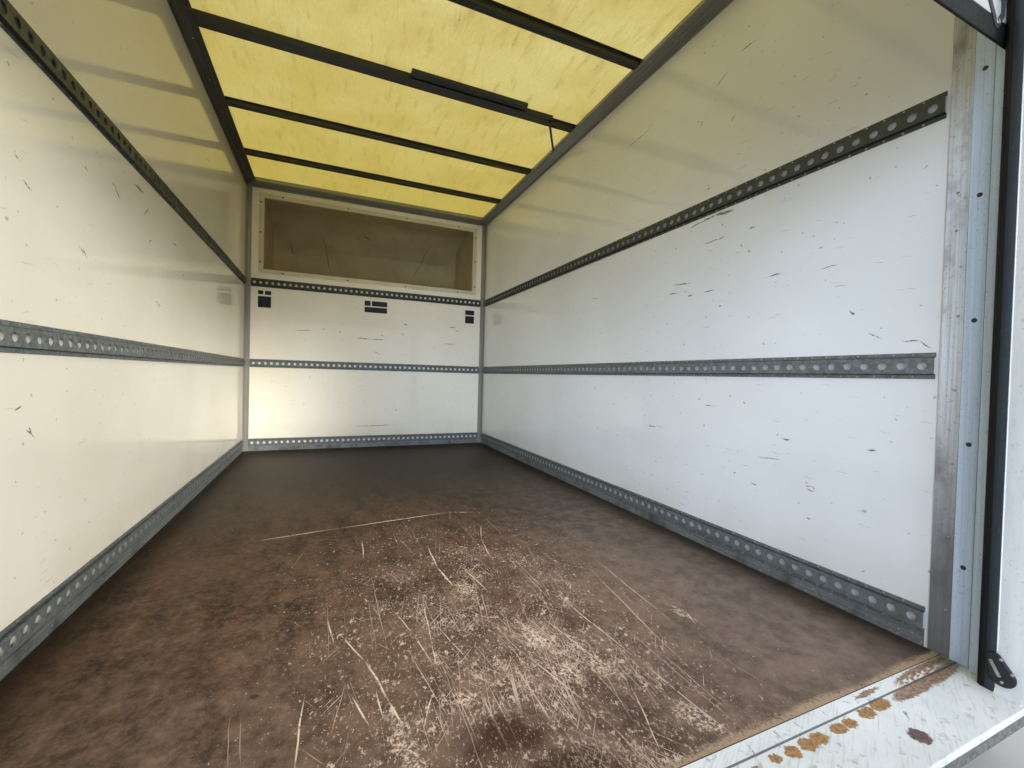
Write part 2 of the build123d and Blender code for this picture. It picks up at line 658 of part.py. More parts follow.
def fittings():
    """Strip lamp on a cable trunk behind a bow, the trunk's conduit, and the marker lamps outside."""
    rear = FRONT - BOW_PLACES[LAMP_BOW] - BOW_WIDTH / 2
    top = ROOF - BOW_WALL
    wall = TRUNK_WALL
    trunk_rear = rear - TRUNK_DEPTH
    trunk_left = END_GAP - SEAT
    trunk_right = SEAT - TRUNK_SHORT
    trunk = block((trunk_left, trunk_right), (trunk_rear, rear), (LEDGE, top))
    trunk -= block((trunk_left + wall, trunk_right - wall), (trunk_rear + wall, rear - wall),
                   (LEDGE + wall, top - wall))
    lamp_x = (LAMP_START, LAMP_START + LAMP_LENGTH)
    save("interior_lamp", block(lamp_x, (trunk_rear - LAMP_WIDTH, trunk_rear), (top - LAMP_HEIGHT, top)))
    start = Vector(trunk_right - 2 * CONDUIT_RADIUS, rear - TRUNK_DEPTH / 2, LEDGE - CONDUIT_RADIUS - END_GAP)
    rail_tip = HALF - RAIL_LEDGE
    end = Vector(rail_tip + CONDUIT_RADIUS, start.Y + CONDUIT_RUN, start.Z)
    length = (end - start).length
    run = Plane(origin=(start + end) * 0.5, z_dir=end - start) * Cylinder(CONDUIT_RADIUS, length)
    inside = LEDGE + wall
    stub = Pos(start.X, start.Y, (start.Z + inside) / 2) * Cylinder(CONDUIT_RADIUS, inside - start.Z)
    conduit = trunk + stub + run + Pos(start.X, start.Y, start.Z) * Sphere(CONDUIT_RADIUS)
    beyond = block((rail_tip, HALF), (start.Y, FRONT), (LEDGE - 4 * CONDUIT_RADIUS, LEDGE))
    save("lamp_conduit", conduit - beyond)
    markers = []
    for place in spread(MARKER_COUNT, MARKER_END):
        along = (place - MARKER_LENGTH / 2, place + MARKER_LENGTH / 2)
        upright = (FLOOR - MARKER_DROP, FLOOR - MARKER_DROP + MARKER_HEIGHT)
        markers.append(block((SKIN, SKIN + MARKER_DEPTH), along, upright))
    save("side_markers", both_sides(markers))
    across = (SKIN - REAR_MARKER_SIDE, SKIN - REAR_MARKER_SIDE + MARKER_LENGTH)
    upright = (ROOF - REAR_MARKER_DROP - MARKER_HEIGHT, ROOF - REAR_MARKER_DROP)
    save("rear_markers", both_sides(block(across, (REAR - MARKER_DEPTH, REAR), upright)))


floor()
underframe()
walls()
rails()
roof()
tie_rails()
pod()
portal()
shutter(guides())
fittings()
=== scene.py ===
import json
import math

import bmesh
import bpy
from mathutils import Matrix, Vector
from mathutils.bvhtree import BVHTree


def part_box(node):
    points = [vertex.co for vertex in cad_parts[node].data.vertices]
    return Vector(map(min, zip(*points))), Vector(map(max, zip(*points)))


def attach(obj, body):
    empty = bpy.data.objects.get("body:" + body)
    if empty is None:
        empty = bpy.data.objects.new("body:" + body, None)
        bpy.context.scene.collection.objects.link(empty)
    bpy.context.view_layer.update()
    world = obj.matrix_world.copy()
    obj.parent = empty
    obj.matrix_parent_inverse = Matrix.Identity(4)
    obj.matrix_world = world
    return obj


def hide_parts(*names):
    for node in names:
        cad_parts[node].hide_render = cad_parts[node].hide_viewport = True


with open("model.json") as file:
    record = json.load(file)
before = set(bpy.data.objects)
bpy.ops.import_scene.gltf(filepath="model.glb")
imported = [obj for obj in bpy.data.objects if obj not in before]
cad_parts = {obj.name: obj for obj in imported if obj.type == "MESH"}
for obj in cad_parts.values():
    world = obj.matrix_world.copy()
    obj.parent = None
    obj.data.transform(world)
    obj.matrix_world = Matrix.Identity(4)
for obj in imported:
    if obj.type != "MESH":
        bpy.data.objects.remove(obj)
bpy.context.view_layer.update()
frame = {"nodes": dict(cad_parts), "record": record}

MM = 0.001
SHADER = "Principled BSDF"

# Places of the load space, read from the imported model, in metres
FLOOR_LOW, FLOOR_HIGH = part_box("floor_boards")
HALF = FLOOR_HIGH.x
FLOOR_REAR = FLOOR_LOW.y
FRONT_WALL = FLOOR_HIGH.y
FLOOR = FLOOR_HIGH.z
SILL_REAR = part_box("rear_sill")[0].y
# Middle height of the lit band on tall pieces, which take a painted shade above and below it, and how deep a
# wall's marks go into it
LIT_MIDDLE = 1.35
WALL_SKIN = 6 * MM

# Tie rails, in metres: a pressed hat with one round hole at each pitch
HOLE_PITCH = 50 * MM
HOLE_RADIUS = 12.5 * MM
CROWN_HALF = 24 * MM
WEB_SLOPE = 3 * MM
FLANGE = 12 * MM
RAIL_PROUD = 12 * MM
RAIL_WALL = 2 * MM
RAIL_LEVELS = (0.270, 1.022, 1.780)


def linear(code):
    """A colour written as sRGB hex, turned to linear with full alpha."""
    parts = [int(code[i:i + 2], 16) / 255 for i in (1, 3, 5)]
    return [p / 12.92 if p <= 0.04045 else ((p + 0.055) / 1.055) ** 2.4 for p in parts] + [1.0]


def per_metre(millimetres):
    """Scale of a pattern whose features are this far apart."""
    return 1 / (millimetres * MM)


def feed(tree, node, inputs):
    """Sets a node's sockets, by name or in their order, to constants or links; a node given here
    means its first output."""
    for socket, value in inputs.items() if isinstance(inputs, dict) else enumerate(inputs):
        if isinstance(value, bpy.types.Node):
            value = value.outputs[0]
        if isinstance(value, bpy.types.NodeSocket):
            tree.links.new(value, node.inputs[socket])
        else:
            node.inputs[socket].default_value = value


def add(tree, kind, inputs, **settings):
    """Adds one node: settings are its properties, inputs its sockets' constants or links."""
    made = tree.nodes.new("ShaderNode" + kind)
    for name, value in settings.items():
        setattr(made, name, value)
    feed(tree, made, inputs)
    return made


def start_material(name, **constants):
    """A material with its shader's constants set, its nodes, and the point it is seen at."""
    material = bpy.data.materials.new(name)
    material.use_nodes = True
    tree = material.node_tree
    feed(tree, tree.nodes[SHADER], {socket.replace("_", " "): value for socket, value in constants.items()})
    return material, tree, add(tree, "TexCoord", ()).outputs["Object"]


def dress(material, colour, roughness, relief, rubbed=None):
    """Links the worked-out colour, roughness and relief to the material's shader: roughness is a
    share with its values at 0 and 1, relief a height with its strength and its depth in
    millimetres, and rubbed a share with the roughness it adds."""
    tree = material.node_tree
    share, low, high = roughness
    level = add(tree, "MapRange", {"Value": share, "To Min": low, "To Max": high})
    if rubbed is not None:
        level = add(tree, "Math", (rubbed[0], rubbed[1], level), operation="MULTIPLY_ADD")
    height, strength, depth = relief
    bump = add(tree, "Bump", {"Height": height, "Strength": strength, "Distance": depth * MM})
    feed(tree, tree.nodes[SHADER], {"Base Color": colour, "Roughness": level, "Normal": bump})
    return material


def paint(tree, tone, *layers):
    """A tone with layers over it, the last on top: each has its share, its tone and, where it does
    not cover fully, how strongly it covers, which is a number or another share. A tone is a hex
    code or a socket."""
    for share, over, *cover in layers:
        if cover:
            share = add(tree, "Math", (share, cover[0]), operation="MULTIPLY")
        under, over = [linear(each) if isinstance(each, str) else each for each in (tone, over)]
        tone = add(tree, "Mix", {0: share, 6: under, 7: over}, data_type="RGBA").outputs[2]
    return tone


def along(tree, point, axis, start, end, most=1.0, middle=None):
    """Share that grows from 0 at one place on an axis to most at another, in metres; with a middle,
    the places are distances from it to either side."""
    place = add(tree, "SeparateXYZ", (point,)).outputs[axis]
    if middle is not None:
        off = add(tree, "Math", (place, -middle), operation="ADD")
        place = add(tree, "Math", (off,), operation="ABSOLUTE")
    return add(tree, "MapRange", {"Value": place, "From Min": start, "From Max": end, "To Max": most})


def cloud(tree, point, size, low, high, detail=2.0, rough=0.55, span="3D"):
    """Share from 0 to 1 in soft patches of this size in millimetres; span is 2D on a flat board."""
    patches = add(tree, "TexNoise", {"Vector": point, "Scale": per_metre(size), "Detail": detail,
                                     "Roughness": rough}, noise_dimensions=span)
    return add(tree, "MapRange", {"Value": patches, "From Min": low, "From Max": high})


def streaks(tree, point, turn, size, low, high, push=None, detail=1.0, rough=0.6, span="3D"):
    """Share from 0 to 1 in long thin marks: patches of this size in millimetres along x, y and z,
    turned about z; push is a share that makes them denser, by 0.12 of the pattern where it is 1."""
    turned = add(tree, "Mapping", {"Vector": point, "Rotation": (0, 0, math.radians(turn)),
                                   "Scale": [each * MM for each in size]}, vector_type="TEXTURE")
    grain = add(tree, "TexNoise", {"Vector": turned, "Scale": 1.0, "Detail": detail, "Roughness": rough},
                noise_dimensions=span)
    if push is not None:
        grain = add(tree, "Math", (push, 0.12, grain), operation="MULTIPLY_ADD")
    return add(tree, "MapRange", {"Value": grain, "From Min": low, "From Max": high})


# A drawn mark fades out this far from its middle line, in half widths
MARK_RIM = 1.15


def hand_marks(tree, point, marks, edge=0.6, broken=None):
    """Share from 0 to 1 on straight tapering marks, each from u, v to u, v and its width, all in
    millimetres; edge is the soft part of a half width, and broken a share that breaks them up."""
    nearest = None
    for mark in marks:
        u1, v1, u2, v2, width = [each * MM for each in mark]
        half_long = max(math.hypot(u2 - u1, v2 - v1), width) / 2
        placed = add(tree, "Mapping", {"Vector": point, "Location": ((u1 + u2) / 2, (v1 + v2) / 2, 0),
                                       "Rotation": (0, 0, math.atan2(v2 - v1, u2 - u1)),
                                       "Scale": (half_long, width / 2, 1)}, vector_type="TEXTURE")
        reach = add(tree, "VectorMath", (placed,), operation="LENGTH").outputs["Value"]
        nearest = reach if nearest is None else add(tree, "Math", (nearest, reach), operation="MINIMUM")
    share = add(tree, "MapRange", {"Value": nearest, "From Min": MARK_RIM, "From Max": MARK_RIM - edge})
    return share if broken is None else add(tree, "Math", (share, broken), operation="MULTIPLY")


def waver(tree, point, size, amount):
    """The point moved about by soft noise of this size and amount in millimetres, so that straight
    marks run unevenly."""
    noise = add(tree, "TexNoise", {"Vector": point, "Scale": per_metre(size), "Detail": 1.0, "Roughness": 0.6},
                noise_dimensions="2D")
    centred = add(tree, "VectorMath", (noise.outputs["Color"], (0.5, 0.5, 0.5)), operation="SUBTRACT")
    return add(tree, "VectorMath", (centred, (amount * MM,) * 3, point), operation="MULTIPLY_ADD")


# Marks of the load on the walls, measured: each runs from one place to another, along the
# wall and up, and has a width, all in millimetres
RIGHT_MARKS = [
    (-1654, 2406, -1730, 2405, 5), (-1524, 2328, -1599, 2363, 5), (-862, 2351, -1090, 2366, 4),
    (-1620, 2120, -1640, 2140, 5), (-1450, 2190, -1460, 2210, 5), (-50, 2070, -90, 2080, 4),
    (-1545, 1732, -1650, 1717, 15), (-1394, 1713, -1470, 1724, 6), (-1460, 1722, -1560, 1731, 9),
    (-1571, 1614, -1610, 1614, 7), (-1488, 1612, -1580, 1614, 5), (-1729, 1522, -1740, 1513, 8),
    (-1732, 1613, -1757, 1613, 7), (-1292, 1452, -1425, 1442, 6), (-1272, 1412, -1337, 1406, 6),
    (-1400, 1380, -1430, 1382, 7), (-1498, 1382, -1556, 1383, 6), (-1825, 1391, -1882, 1392, 6),
    (-2028, 1376, -2086, 1380, 4), (-2127, 1215, -2143, 1196, 8), (-1491, 1865, -1518, 1872, 6),
    (-2279, 1099, -2320, 1097, 4), (-2320, 1096, -2351, 1074, 4), (-2188, 1131, -2222, 1113, 4),
    (-1529, 847, -1564, 849, 5), (-1144, 706, -1206, 711, 6), (-1694, 564, -1707, 567, 7),
    (-1780, 539, -1810, 533, 5), (-1906, 746, -1941, 743, 6), (-1810, 654, -1902, 660, 4),
    (-2001, 580, -2034, 586, 4), (-2032, 585, -2040, 573, 4), (-2006, 571, -2037, 567, 4),
    (-2196, 747, -2222, 751, 7), (-2010, 464, -2024, 461, 6), (-550, 1500, -620, 1490, 4),
    (450, 1600, 400, 1550, 4),
]
LEFT_MARKS = [
    (-1052, 1609, -1015, 1606, 6), (-1030, 1606, -979, 1573, 7), (-856, 1681, -762, 1676, 11),
    (-822, 1690, -790, 1672, 9), (-759, 1590, -703, 1636, 9), (-705, 1491, -667, 1513, 7),
    (-393, 1576, -317, 1575, 9), (-1237, 1587, -1218, 1579, 9), (-1537, 1420, -1499, 1408, 7),
    (-1266, 1327, -1229, 1309, 6), (-1242, 1327, -1219, 1300, 6), (-1570, 1473, -1544, 1460, 5),
    (-616, 1252, -541, 1239, 6), (-586, 1248, -555, 1221, 6), (-1563, 840, -1531, 850, 7),
    (-1516, 788, -1479, 761, 6), (-1506, 794, -1494, 774, 6), (-241, 1454, -203, 1450, 9),
    (233, 2271, 295, 2283, 10),
]
FRONT_MARKS = [
    (-515, 1381, -488, 1377, 11), (-360, 1372, -342, 1353, 10), (-190, 1312, -55, 1304, 10),
    (-55, 1304, 93, 1309, 8), (50, 1358, 68, 1344, 10), (278, 1488, 314, 1482, 12), (254, 1391, 281, 1362, 9),
    (774, 1488, 847, 1485, 9), (848, 1454, 893, 1448, 9), (716, 1301, 851, 1300, 7), (-182, 405, 203, 413, 7),
    (210, 582, 224, 565, 10), (-14, 1179, 46, 1151, 8), (-761, 1351, -595, 1362, 6),
]


# Gelcoat on glass-fibre-faced plywood, moulded against a polished plate: off-white, glossy and
# faintly wavy, with grime in soft clouds, brown nicks and thin rusty scrapes from the load. The
# damage stays on the inner side of inner_face. The tone under_roof is a painted shade that darkens
# the wall's upper part towards the roof.
def make_gelcoat_panel(name, axis, clean, grimy, marks, inner_face, under_roof=None):
    material, tree, point = start_material(name, IOR=1.5)
    place = add(tree, "SeparateXYZ", (point,))
    flat = add(tree, "CombineXYZ", (place.outputs[axis], place.outputs[2]))
    uneven = waver(tree, flat, 35, 9)
    depth = add(tree, "Math", (place.outputs[1 - axis],), operation="ABSOLUTE")
    inside = add(tree, "Math", (depth, inner_face), operation="LESS_THAN")

    scrapes = streaks(tree, uneven, 6, (110, 5, 1000), 0.80, 0.82, span="2D")
    nicks = cloud(tree, uneven, 24, 0.80, 0.84, detail=1.0, span="2D")
    drawn = hand_marks(tree, uneven, marks, broken=cloud(tree, flat, 9, 0.30, 0.46, detail=2.0, span="2D"))
    damage = add(tree, "Math", (scrapes, nicks), operation="MAXIMUM")
    damage = add(tree, "Math", (damage, 0.55), operation="MULTIPLY")
    damage = add(tree, "Math", (damage, drawn), operation="MAXIMUM")
    damage = add(tree, "Math", (damage, inside), operation="MULTIPLY")

    grime = cloud(tree, flat, 700, 0.20, 0.90, detail=4.0, span="2D")
    splashed = along(tree, point, 2, FLOOR + 0.30, FLOOR + 0.05)
    tone = paint(tree, clean, (grime, grimy), (splashed, "#C9C3B3", grime))
    # Painted shade: the upper wall darkens towards the roof
    if under_roof is not None:
        tone = paint(tree, tone, (along(tree, point, 2, 1.7, 2.4, most=0.4), under_roof))
    tone = paint(tree, tone, (damage, "#5E4E40"))

    wave = cloud(tree, flat, 180, 0, 1, detail=0.0, span="2D")
    return dress(material, tone, (grime, 0.06, 0.10), (wave, 0.1, 2), rubbed=(damage, 0.4))


# The floor's marks in the same way, across and along it
LONG_SCRATCHES = [
    (301, -1729, 333, -2100, 4), (333, -2100, 367, -2395, 3), (253, -2176, 177, -2382, 3.5),
    (-152, -1610, -174, -1837, 3.5), (-174, -1837, -182, -1930, 3), (-418, -1693, -354, -1847, 4.5),
    (-354, -1847, -315, -2016, 6), (-315, -2016, -296, -2100, 6), (-445, -1607, -433, -1739, 4.5),
    (-245, -1641, -215, -1770, 3.5), (-215, -1770, -190, -1924, 3), (-140, -1750, -100, -1950, 3),
    (-498, -1922, -507, -2150, 4), (-394, -1970, -365, -2071, 4.5), (-301, -975, -311, -1182, 4.5),
    (280, -954, 220, -1120, 4), (220, -1120, 185, -1359, 4), (-37, -1151, -45, -1360, 6),
    (-45, -1360, -25, -1532, 9), (50, -1400, 80, -1620, 4), (-210, -2020, -260, -2130, 3),
    (-340, -1970, -335, -2060, 4), (186, -1823, 234, -2087, 3.5), (524, -1583, 443, -2166, 3),
    (600, -1500, 560, -2000, 3), (50, -1950, 120, -2200, 3.5), (-764, -830, -397, -774, 7),
    (-397, -774, 172, -700, 10), (172, -700, 300, -740, 6), (655, -1955, 624, -2030, 4),
]
BARE_PATCHES = [
    (-315, -2050, -285, -2270, 54), (-370, -2160, -360, -2280, 34), (300, -1700, 310, -1800, 34),
    (-20, -1500, 20, -1620, 90), (100, -1860, 140, -1970, 80), (110, -2040, 160, -2120, 90),
    (200, -2040, 260, -2160, 60), (-20, -1930, -30, -2030, 20), (300, -2260, 360, -2380, 60),
    (-180, -2040, -140, -2100, 44), (620, -1900, 640, -2040, 26),
]
DARK_PATCHES = [(-190, -2210, 0, -2200, 130), (-170, -2340, 100, -2360, 150), (-620, -1860, -600, -1890, 36)]
# Fine scratches: turn in degrees, length in millimetres, and the cut that keeps them rare
FINE_SCRATCHES = ((0, 620, 0.965), (9, 420, 0.975), (-13, 460, 0.975), (36, 150, 0.99), (-42, 130, 0.99))
# Chips of the film: across and along in millimetres, and their cut
CHIPS = ((20, 32, 0.78), (7, 11, 0.77))


# Phenolic film on birch plywood: pressed dark brown and half dull, rubbed by the load along the
# floor, so that pale wood shows in fine straight scratches, chips and a few bare places.
def make_phenolic_floor():
    material, tree, point = start_material("phenolic_plywood", IOR=1.5, Specular_IOR_Level=0.10)
    rearward = add(tree, "SeparateXYZ", (point,)).outputs[1]
    uneven = waver(tree, point, 140, 8)
    broad = cloud(tree, point, 620, 0.34, 0.68, detail=4.0, rough=0.6, span="2D")
    hand = cloud(tree, point, 80, 0.40, 0.68, detail=6.0, rough=0.72, span="2D")
    red = cloud(tree, point, 210, 0.54, 0.76, detail=4.0, span="2D")
    dirt = streaks(tree, uneven, 2, (110, 420, 1000), 0.50, 0.70, detail=5.0, span="2D")
    grit = cloud(tree, point, 24, 0.44, 0.66, detail=4.0, rough=0.85, span="2D")
    even = add(tree, "Math", (hand, 0.45, 0.4), operation="MULTIPLY_ADD")

    # The load wears the film down the middle of the rear half
    back = along(tree, point, 1, -0.3, -1.6)
    middle = along(tree, point, 0, 0.85, 0.15, middle=0.03)
    patchy = cloud(tree, point, 240, 0.28, 0.70, detail=3.0, span="2D")
    patchy = add(tree, "MapRange", {"Value": patchy, "To Min": 0.35, "To Max": 1.0})
    worn = add(tree, "Math", (back, middle), operation="MULTIPLY")
    worn = add(tree, "Math", (worn, patchy), operation="MULTIPLY")
    haze = add(tree, "Math", (hand, worn), operation="MULTIPLY")
    dense = add(tree, "Math", (worn, 2.2), operation="MULTIPLY")
    spread = add(tree, "Math", (worn, 0.5), operation="POWER")
    spread = add(tree, "Math", (spread, 1.75), operation="MULTIPLY")
    layers = [streaks(tree, uneven, turn, (3, length, 1000), cut, cut + 0.05, push=dense, detail=0.0, span="2D")
              for turn, length, cut in FINE_SCRATCHES]
    layers += [streaks(tree, point, -14, (across, length, 1000), cut, cut + 0.03, push=spread, detail=4.0,
                       rough=0.75, span="2D") for across, length, cut in CHIPS]
    marks = layers[0]
    for layer in layers[1:]:
        marks = add(tree, "Math", (marks, layer), operation="MAXIMUM")
    covered = hand_marks(tree, waver(tree, point, 70, 90), DARK_PATCHES)
    kept = add(tree, "Math", (covered, -0.5, 0.9), operation="MULTIPLY_ADD")
    marks = add(tree, "Math", (marks, kept), operation="MULTIPLY")
    faded = add(tree, "MapRange", {"Value": hand, "To Min": 0.95, "To Max": 0.5})

    scuffed = cloud(tree, point, 18, 0.30, 0.46, detail=3.0, span="2D")
    torn = cloud(tree, uneven, 10, 0.50, 0.58, detail=5.0, rough=0.85, span="2D")
    thin = hand_marks(tree, uneven, LONG_SCRATCHES, broken=scuffed)
    bare = hand_marks(tree, waver(tree, point, 40, 60), BARE_PATCHES, broken=torn)
    drawn = add(tree, "Math", (thin, bare), operation="MAXIMUM")

    # The film is broken away along its rear edge, with a dark joint to the sill
    ragged = add(tree, "Math", (patchy, 0.022, rearward), operation="MULTIPLY_ADD")
    ragged = add(tree, "Math", (torn, 0.014, ragged), operation="MULTIPLY_ADD")
    rear_edge = add(tree, "MapRange", {"Value": ragged, "From Min": FLOOR_REAR + 0.040,
                                       "From Max": FLOOR_REAR + 0.028})
    joint = add(tree, "Math", (rearward, FLOOR_REAR + 2.5 * MM), operation="LESS_THAN")

    tone = paint(tree, "#2B2015", (broad, "#54412F"), (hand, "#6C5543", 0.75), (red, "#4F2A22", 0.6),
                 (dirt, "#21170F", 0.85), (grit, "#8C7565", 0.28),
                 # Painted reflection: paler towards the right, where the film's sheen shows the right-hand wall
                 (along(tree, point, 0, 0.20, 0.75, most=0.95), "#82746A", even),
                 # Painted shade: darker towards the front, away from the doorway's light
                 (along(tree, point, 1, -1.4, 0.4, most=0.92), "#1E1302"),
                 # Painted light: paler towards the rear, where daylight comes in at the doorway
                 (along(tree, point, 1, -1.5, -2.3, most=0.42), "#957E70", even),
                 # Painted shade: darker along the foot of both walls
                 (along(tree, point, 0, HALF - 0.17, HALF - 0.02, most=0.85, middle=0), "#1D160F"),
                 (haze, "#876B5A", 0.5), (covered, "#33201A", 0.75), (marks, "#D8BFAD", faded),
                 (drawn, "#E6D1B8", 0.9), (rear_edge, "#B59C7E", 0.85), (joint, "#4A4038"))
    fine = cloud(tree, point, 7, 0, 1, detail=1.0, rough=0.5, span="2D")
    bared = add(tree, "Math", (haze, marks), operation="MAXIMUM")
    return dress(material, tone, (bared, 0.45, 0.75), (fine, 0.35, 0.6))


# Hand-laid glass-fibre roof sheet, translucent and yellowed by the sun: fibre bundles run in short
# streaks, with dark specks of trapped dirt. Both faces colour the light, so the tone here is paler
# than the roof looks from below.
def make_roof_laminate():
    material, tree, point = start_material("translucent_laminate", IOR=1.5)
    drift = cloud(tree, point, 420, 0.36, 0.68, detail=3.0, span="2D")
    fibres = streaks(tree, point, 4, (9, 44, 44), 0.36, 0.80, detail=3.0, span="2D")
    aged = along(tree, point, 1, -1.0, 1.2, most=0.6)
    ribs = streaks(tree, point, -2, (46, 260, 300), 0.56, 0.90, detail=2.0, span="2D")
    specks = streaks(tree, point, 3, (7, 14, 13), 0.79, 0.84, push=ribs, span="2D")
    tone = paint(tree, "#F5EDC0", (drift, "#EDE2AC"), (fibres, "#DCCF97", 0.35), (aged, "#E4D68A"),
                 (ribs, "#CDBE86", 0.5), (specks, "#8B7C50", 0.85))
    glow = add(tree, "BsdfTranslucent", {"Color": tone})
    both = add(tree, "MixShader", (0.75, tree.nodes[SHADER], glow))
    feed(tree, tree.nodes["Material Output"], {"Surface": both})
    weave = cloud(tree, point, 8, 0, 1, detail=0.0, span="2D")
    return dress(material, tone, (fibres, 0.40, 0.55), (weave, 0.3, 0.6))


# Creases where the pod's mats meet, drawn as dark lines of painted shade; across and up
POD_CREASES = [
    (-530, 2500, -430, 2130, 12), (700, 2560, 510, 2140, 12), (-100, 2560, 0, 2500, 14),
    (-860, 2400, -840, 2280, 14),
]


# The pod's inner face, laid up by hand and left bare: brown resin over matted fibres, quite dull.
def make_raw_laminate():
    material, tree, point = start_material("raw_laminate", IOR=1.5)
    place = add(tree, "SeparateXYZ", (point,))
    flat = add(tree, "CombineXYZ", (place.outputs[0], place.outputs[2]))
    mat = cloud(tree, point, 9, 0.42, 0.62, detail=3.0)
    # Painted shade in the creases
    creases = hand_marks(tree, waver(tree, flat, 200, 60), POD_CREASES)
    tone = paint(tree, "#C6B894", (cloud(tree, point, 260, 0.35, 0.68, detail=4.0), "#B4A580"),
                 (mat, "#A39366", 0.3), (creases, "#5A4A2C", 0.55))
    return dress(material, tone, (mat, 0.45, 0.65), (mat, 0.5, 0.8))


# The sill's marks and its pressed groove, across and along the floor
SILL_BARE = [
    (380, -2457, 410, -2458, 20), (425, -2459, 462, -2461, 30), (470, -2458, 515, -2460, 32),
    (508, -2457, 556, -2459, 30), (578, -2456, 625, -2458, 26), (625, -2457, 662, -2458, 26),
    (690, -2454, 742, -2452, 28), (745, -2451, 810, -2447, 30), (330, -2456, 345, -2458, 12),
    (250, -2456, 280, -2459, 14), (-50, -2456, 50, -2460, 18), (-420, -2455, -300, -2459, 18),
    (-800, -2455, -720, -2458, 16),
]
SILL_PRIMER = [
    (830, -2454, 1020, -2447, 32), (920, -2446, 1170, -2434, 44), (900, -2424, 1160, -2413, 30),
    (740, -2417, 840, -2412, 12),
]
SILL_DENT = [(728, -2533, 772, -2541, 40), (735, -2545, 765, -2541, 30)]
SILL_FLAKES = [(780, -2430, 1160, -2423, 18)]
SILL_CRACKS = [
    (809, -2480, 781, -2506, 3), (460, -2403, 455, -2430, 3), (520, -2405, 530, -2428, 3),
    (620, -2404, 618, -2426, 3), (370, -2405, 360, -2440, 3), (700, -2404, 710, -2424, 3),
]
SILL_GROOVE = FLOOR_REAR - 35 * MM


# White enamel sprayed on a folded steel sill: rubbed grey by the load in slanting brush lines, worn
# to yellow-brown primer in ovals and one ragged patch behind the floor's edge, and dirty in its corners.
def make_sill_enamel():
    material, tree, point = start_material("sill_enamel", IOR=1.5)
    brushed = streaks(tree, point, 28, (70, 5, 1000), 0.52, 0.70, detail=3.0)
    dirt = cloud(tree, point, 22, 0.60, 0.70, detail=4.0)
    mixed = cloud(tree, point, 8, 0.42, 0.58, detail=2.0)
    flaked = streaks(tree, point, 20, (22, 8, 1000), 0.46, 0.56, detail=2.0)
    ragged = waver(tree, point, 10, 12)
    bare, primer, dent = [hand_marks(tree, ragged, marks, edge=0.2)
                          for marks in (SILL_BARE, SILL_PRIMER, SILL_DENT)]
    flakes = hand_marks(tree, ragged, SILL_FLAKES, broken=flaked)
    cracks = hand_marks(tree, ragged, SILL_CRACKS)
    rearward = add(tree, "SeparateXYZ", (point,)).outputs[1]
    # The groove's dark line is dirt in the groove and painted shade; the cracks are dark in their own right
    line = add(tree, "Math", (rearward, SILL_GROOVE, 2.6 * MM), operation="COMPARE")
    dark_line = add(tree, "Math", (line, cracks), operation="MAXIMUM")
    ends = along(tree, point, 0, 1.06, 1.15, middle=0)
    inner = along(tree, point, 1, -2.475, -2.435, most=0.85)
    tone = paint(tree, "#F0F3F3", (cloud(tree, point, 160, 0.35, 0.7, detail=4.0), "#DEE3E2"),
                 (brushed, "#A9B0AE", 0.4), (dirt, "#8D8C80", 0.5),
                 (bare, paint(tree, "#B58C55", (mixed, "#8F6C4C"))),
                 (primer, paint(tree, "#AC9076", (mixed, "#7F6454"))),
                 (dent, paint(tree, "#7A625C", (mixed, "#5A4543"))), (flakes, "#F0EEE6"),
                 (ends, paint(tree, "#6E6647", (mixed, "#4A4437")), inner), (dark_line, "#5E6163", 0.8))
    height = add(tree, "Math", (bare, -1.0, brushed), operation="MULTIPLY_ADD")
    rubbed = add(tree, "Math", (bare, brushed), operation="MAXIMUM")
    return dress(material, tone, (rubbed, 0.28, 0.6), (height, 0.3, 0.4))


def make_finish(name, colour, second, worn, metallic, roughness, streak, fleck=14, relief=0.2, smudge=None,
                ends=None, **constants):
    """A worn finish: two tones in streaks of this size along x, y and z in millimetres, with rubbed
    flecks in a third tone; smudge is a colour handled on in soft patches, and ends is a painted
    shade that a tall piece takes above and below its lit middle height."""
    material, tree, point = start_material(name, Metallic=metallic, **constants)
    drawn = streaks(tree, point, 0, streak, 0.38, 0.66, detail=4.0)
    flecks = cloud(tree, point, fleck, 0.60, 0.70, detail=4.0)
    tone = paint(tree, colour, (drawn, second), (flecks, worn, 0.6))
    if smudge is not None:
        tone = paint(tree, tone, (streaks(tree, point, 0, (90, 90, 150), 0.50, 0.78, detail=4.0), smudge))
    # Painted shade above and below the lit middle height
    if ends is not None:
        tone = paint(tree, tone, (along(tree, point, 2, 0.3, 0.95, most=0.85, middle=LIT_MIDDLE), ends))
    return dress(material, tone, (drawn, roughness - 0.07, roughness + 0.07), (drawn, relief, 0.3),
                 rubbed=(flecks, 0.15))


# Hot-dip galvanised steel: grey crystals a centimetre across, each with its own shade and sheen;
# upper is a painted shade for the top rail, which is seen from below in shade.
def make_galvanised(name, light, dark, metallic, upper=None):
    material, tree, point = start_material(name, Metallic=metallic)
    crystals = add(tree, "TexVoronoi", {"Vector": point, "Scale": per_metre(11)})
    shade = add(tree, "SeparateColor", (crystals.outputs["Color"],))
    dust = cloud(tree, point, 60, 0.50, 0.70, detail=5.0)
    tone = paint(tree, light, (shade, dark), (dust, "#5C5A52", 0.5))
    if upper is not None:
        # Painted shade on the top rail
        tone = paint(tree, tone, (along(tree, point, 2, 1.4, 1.7, most=0.8), upper))
    return dress(material, tone, (shade, 0.38, 0.55), (shade, 0.08, 0.3))


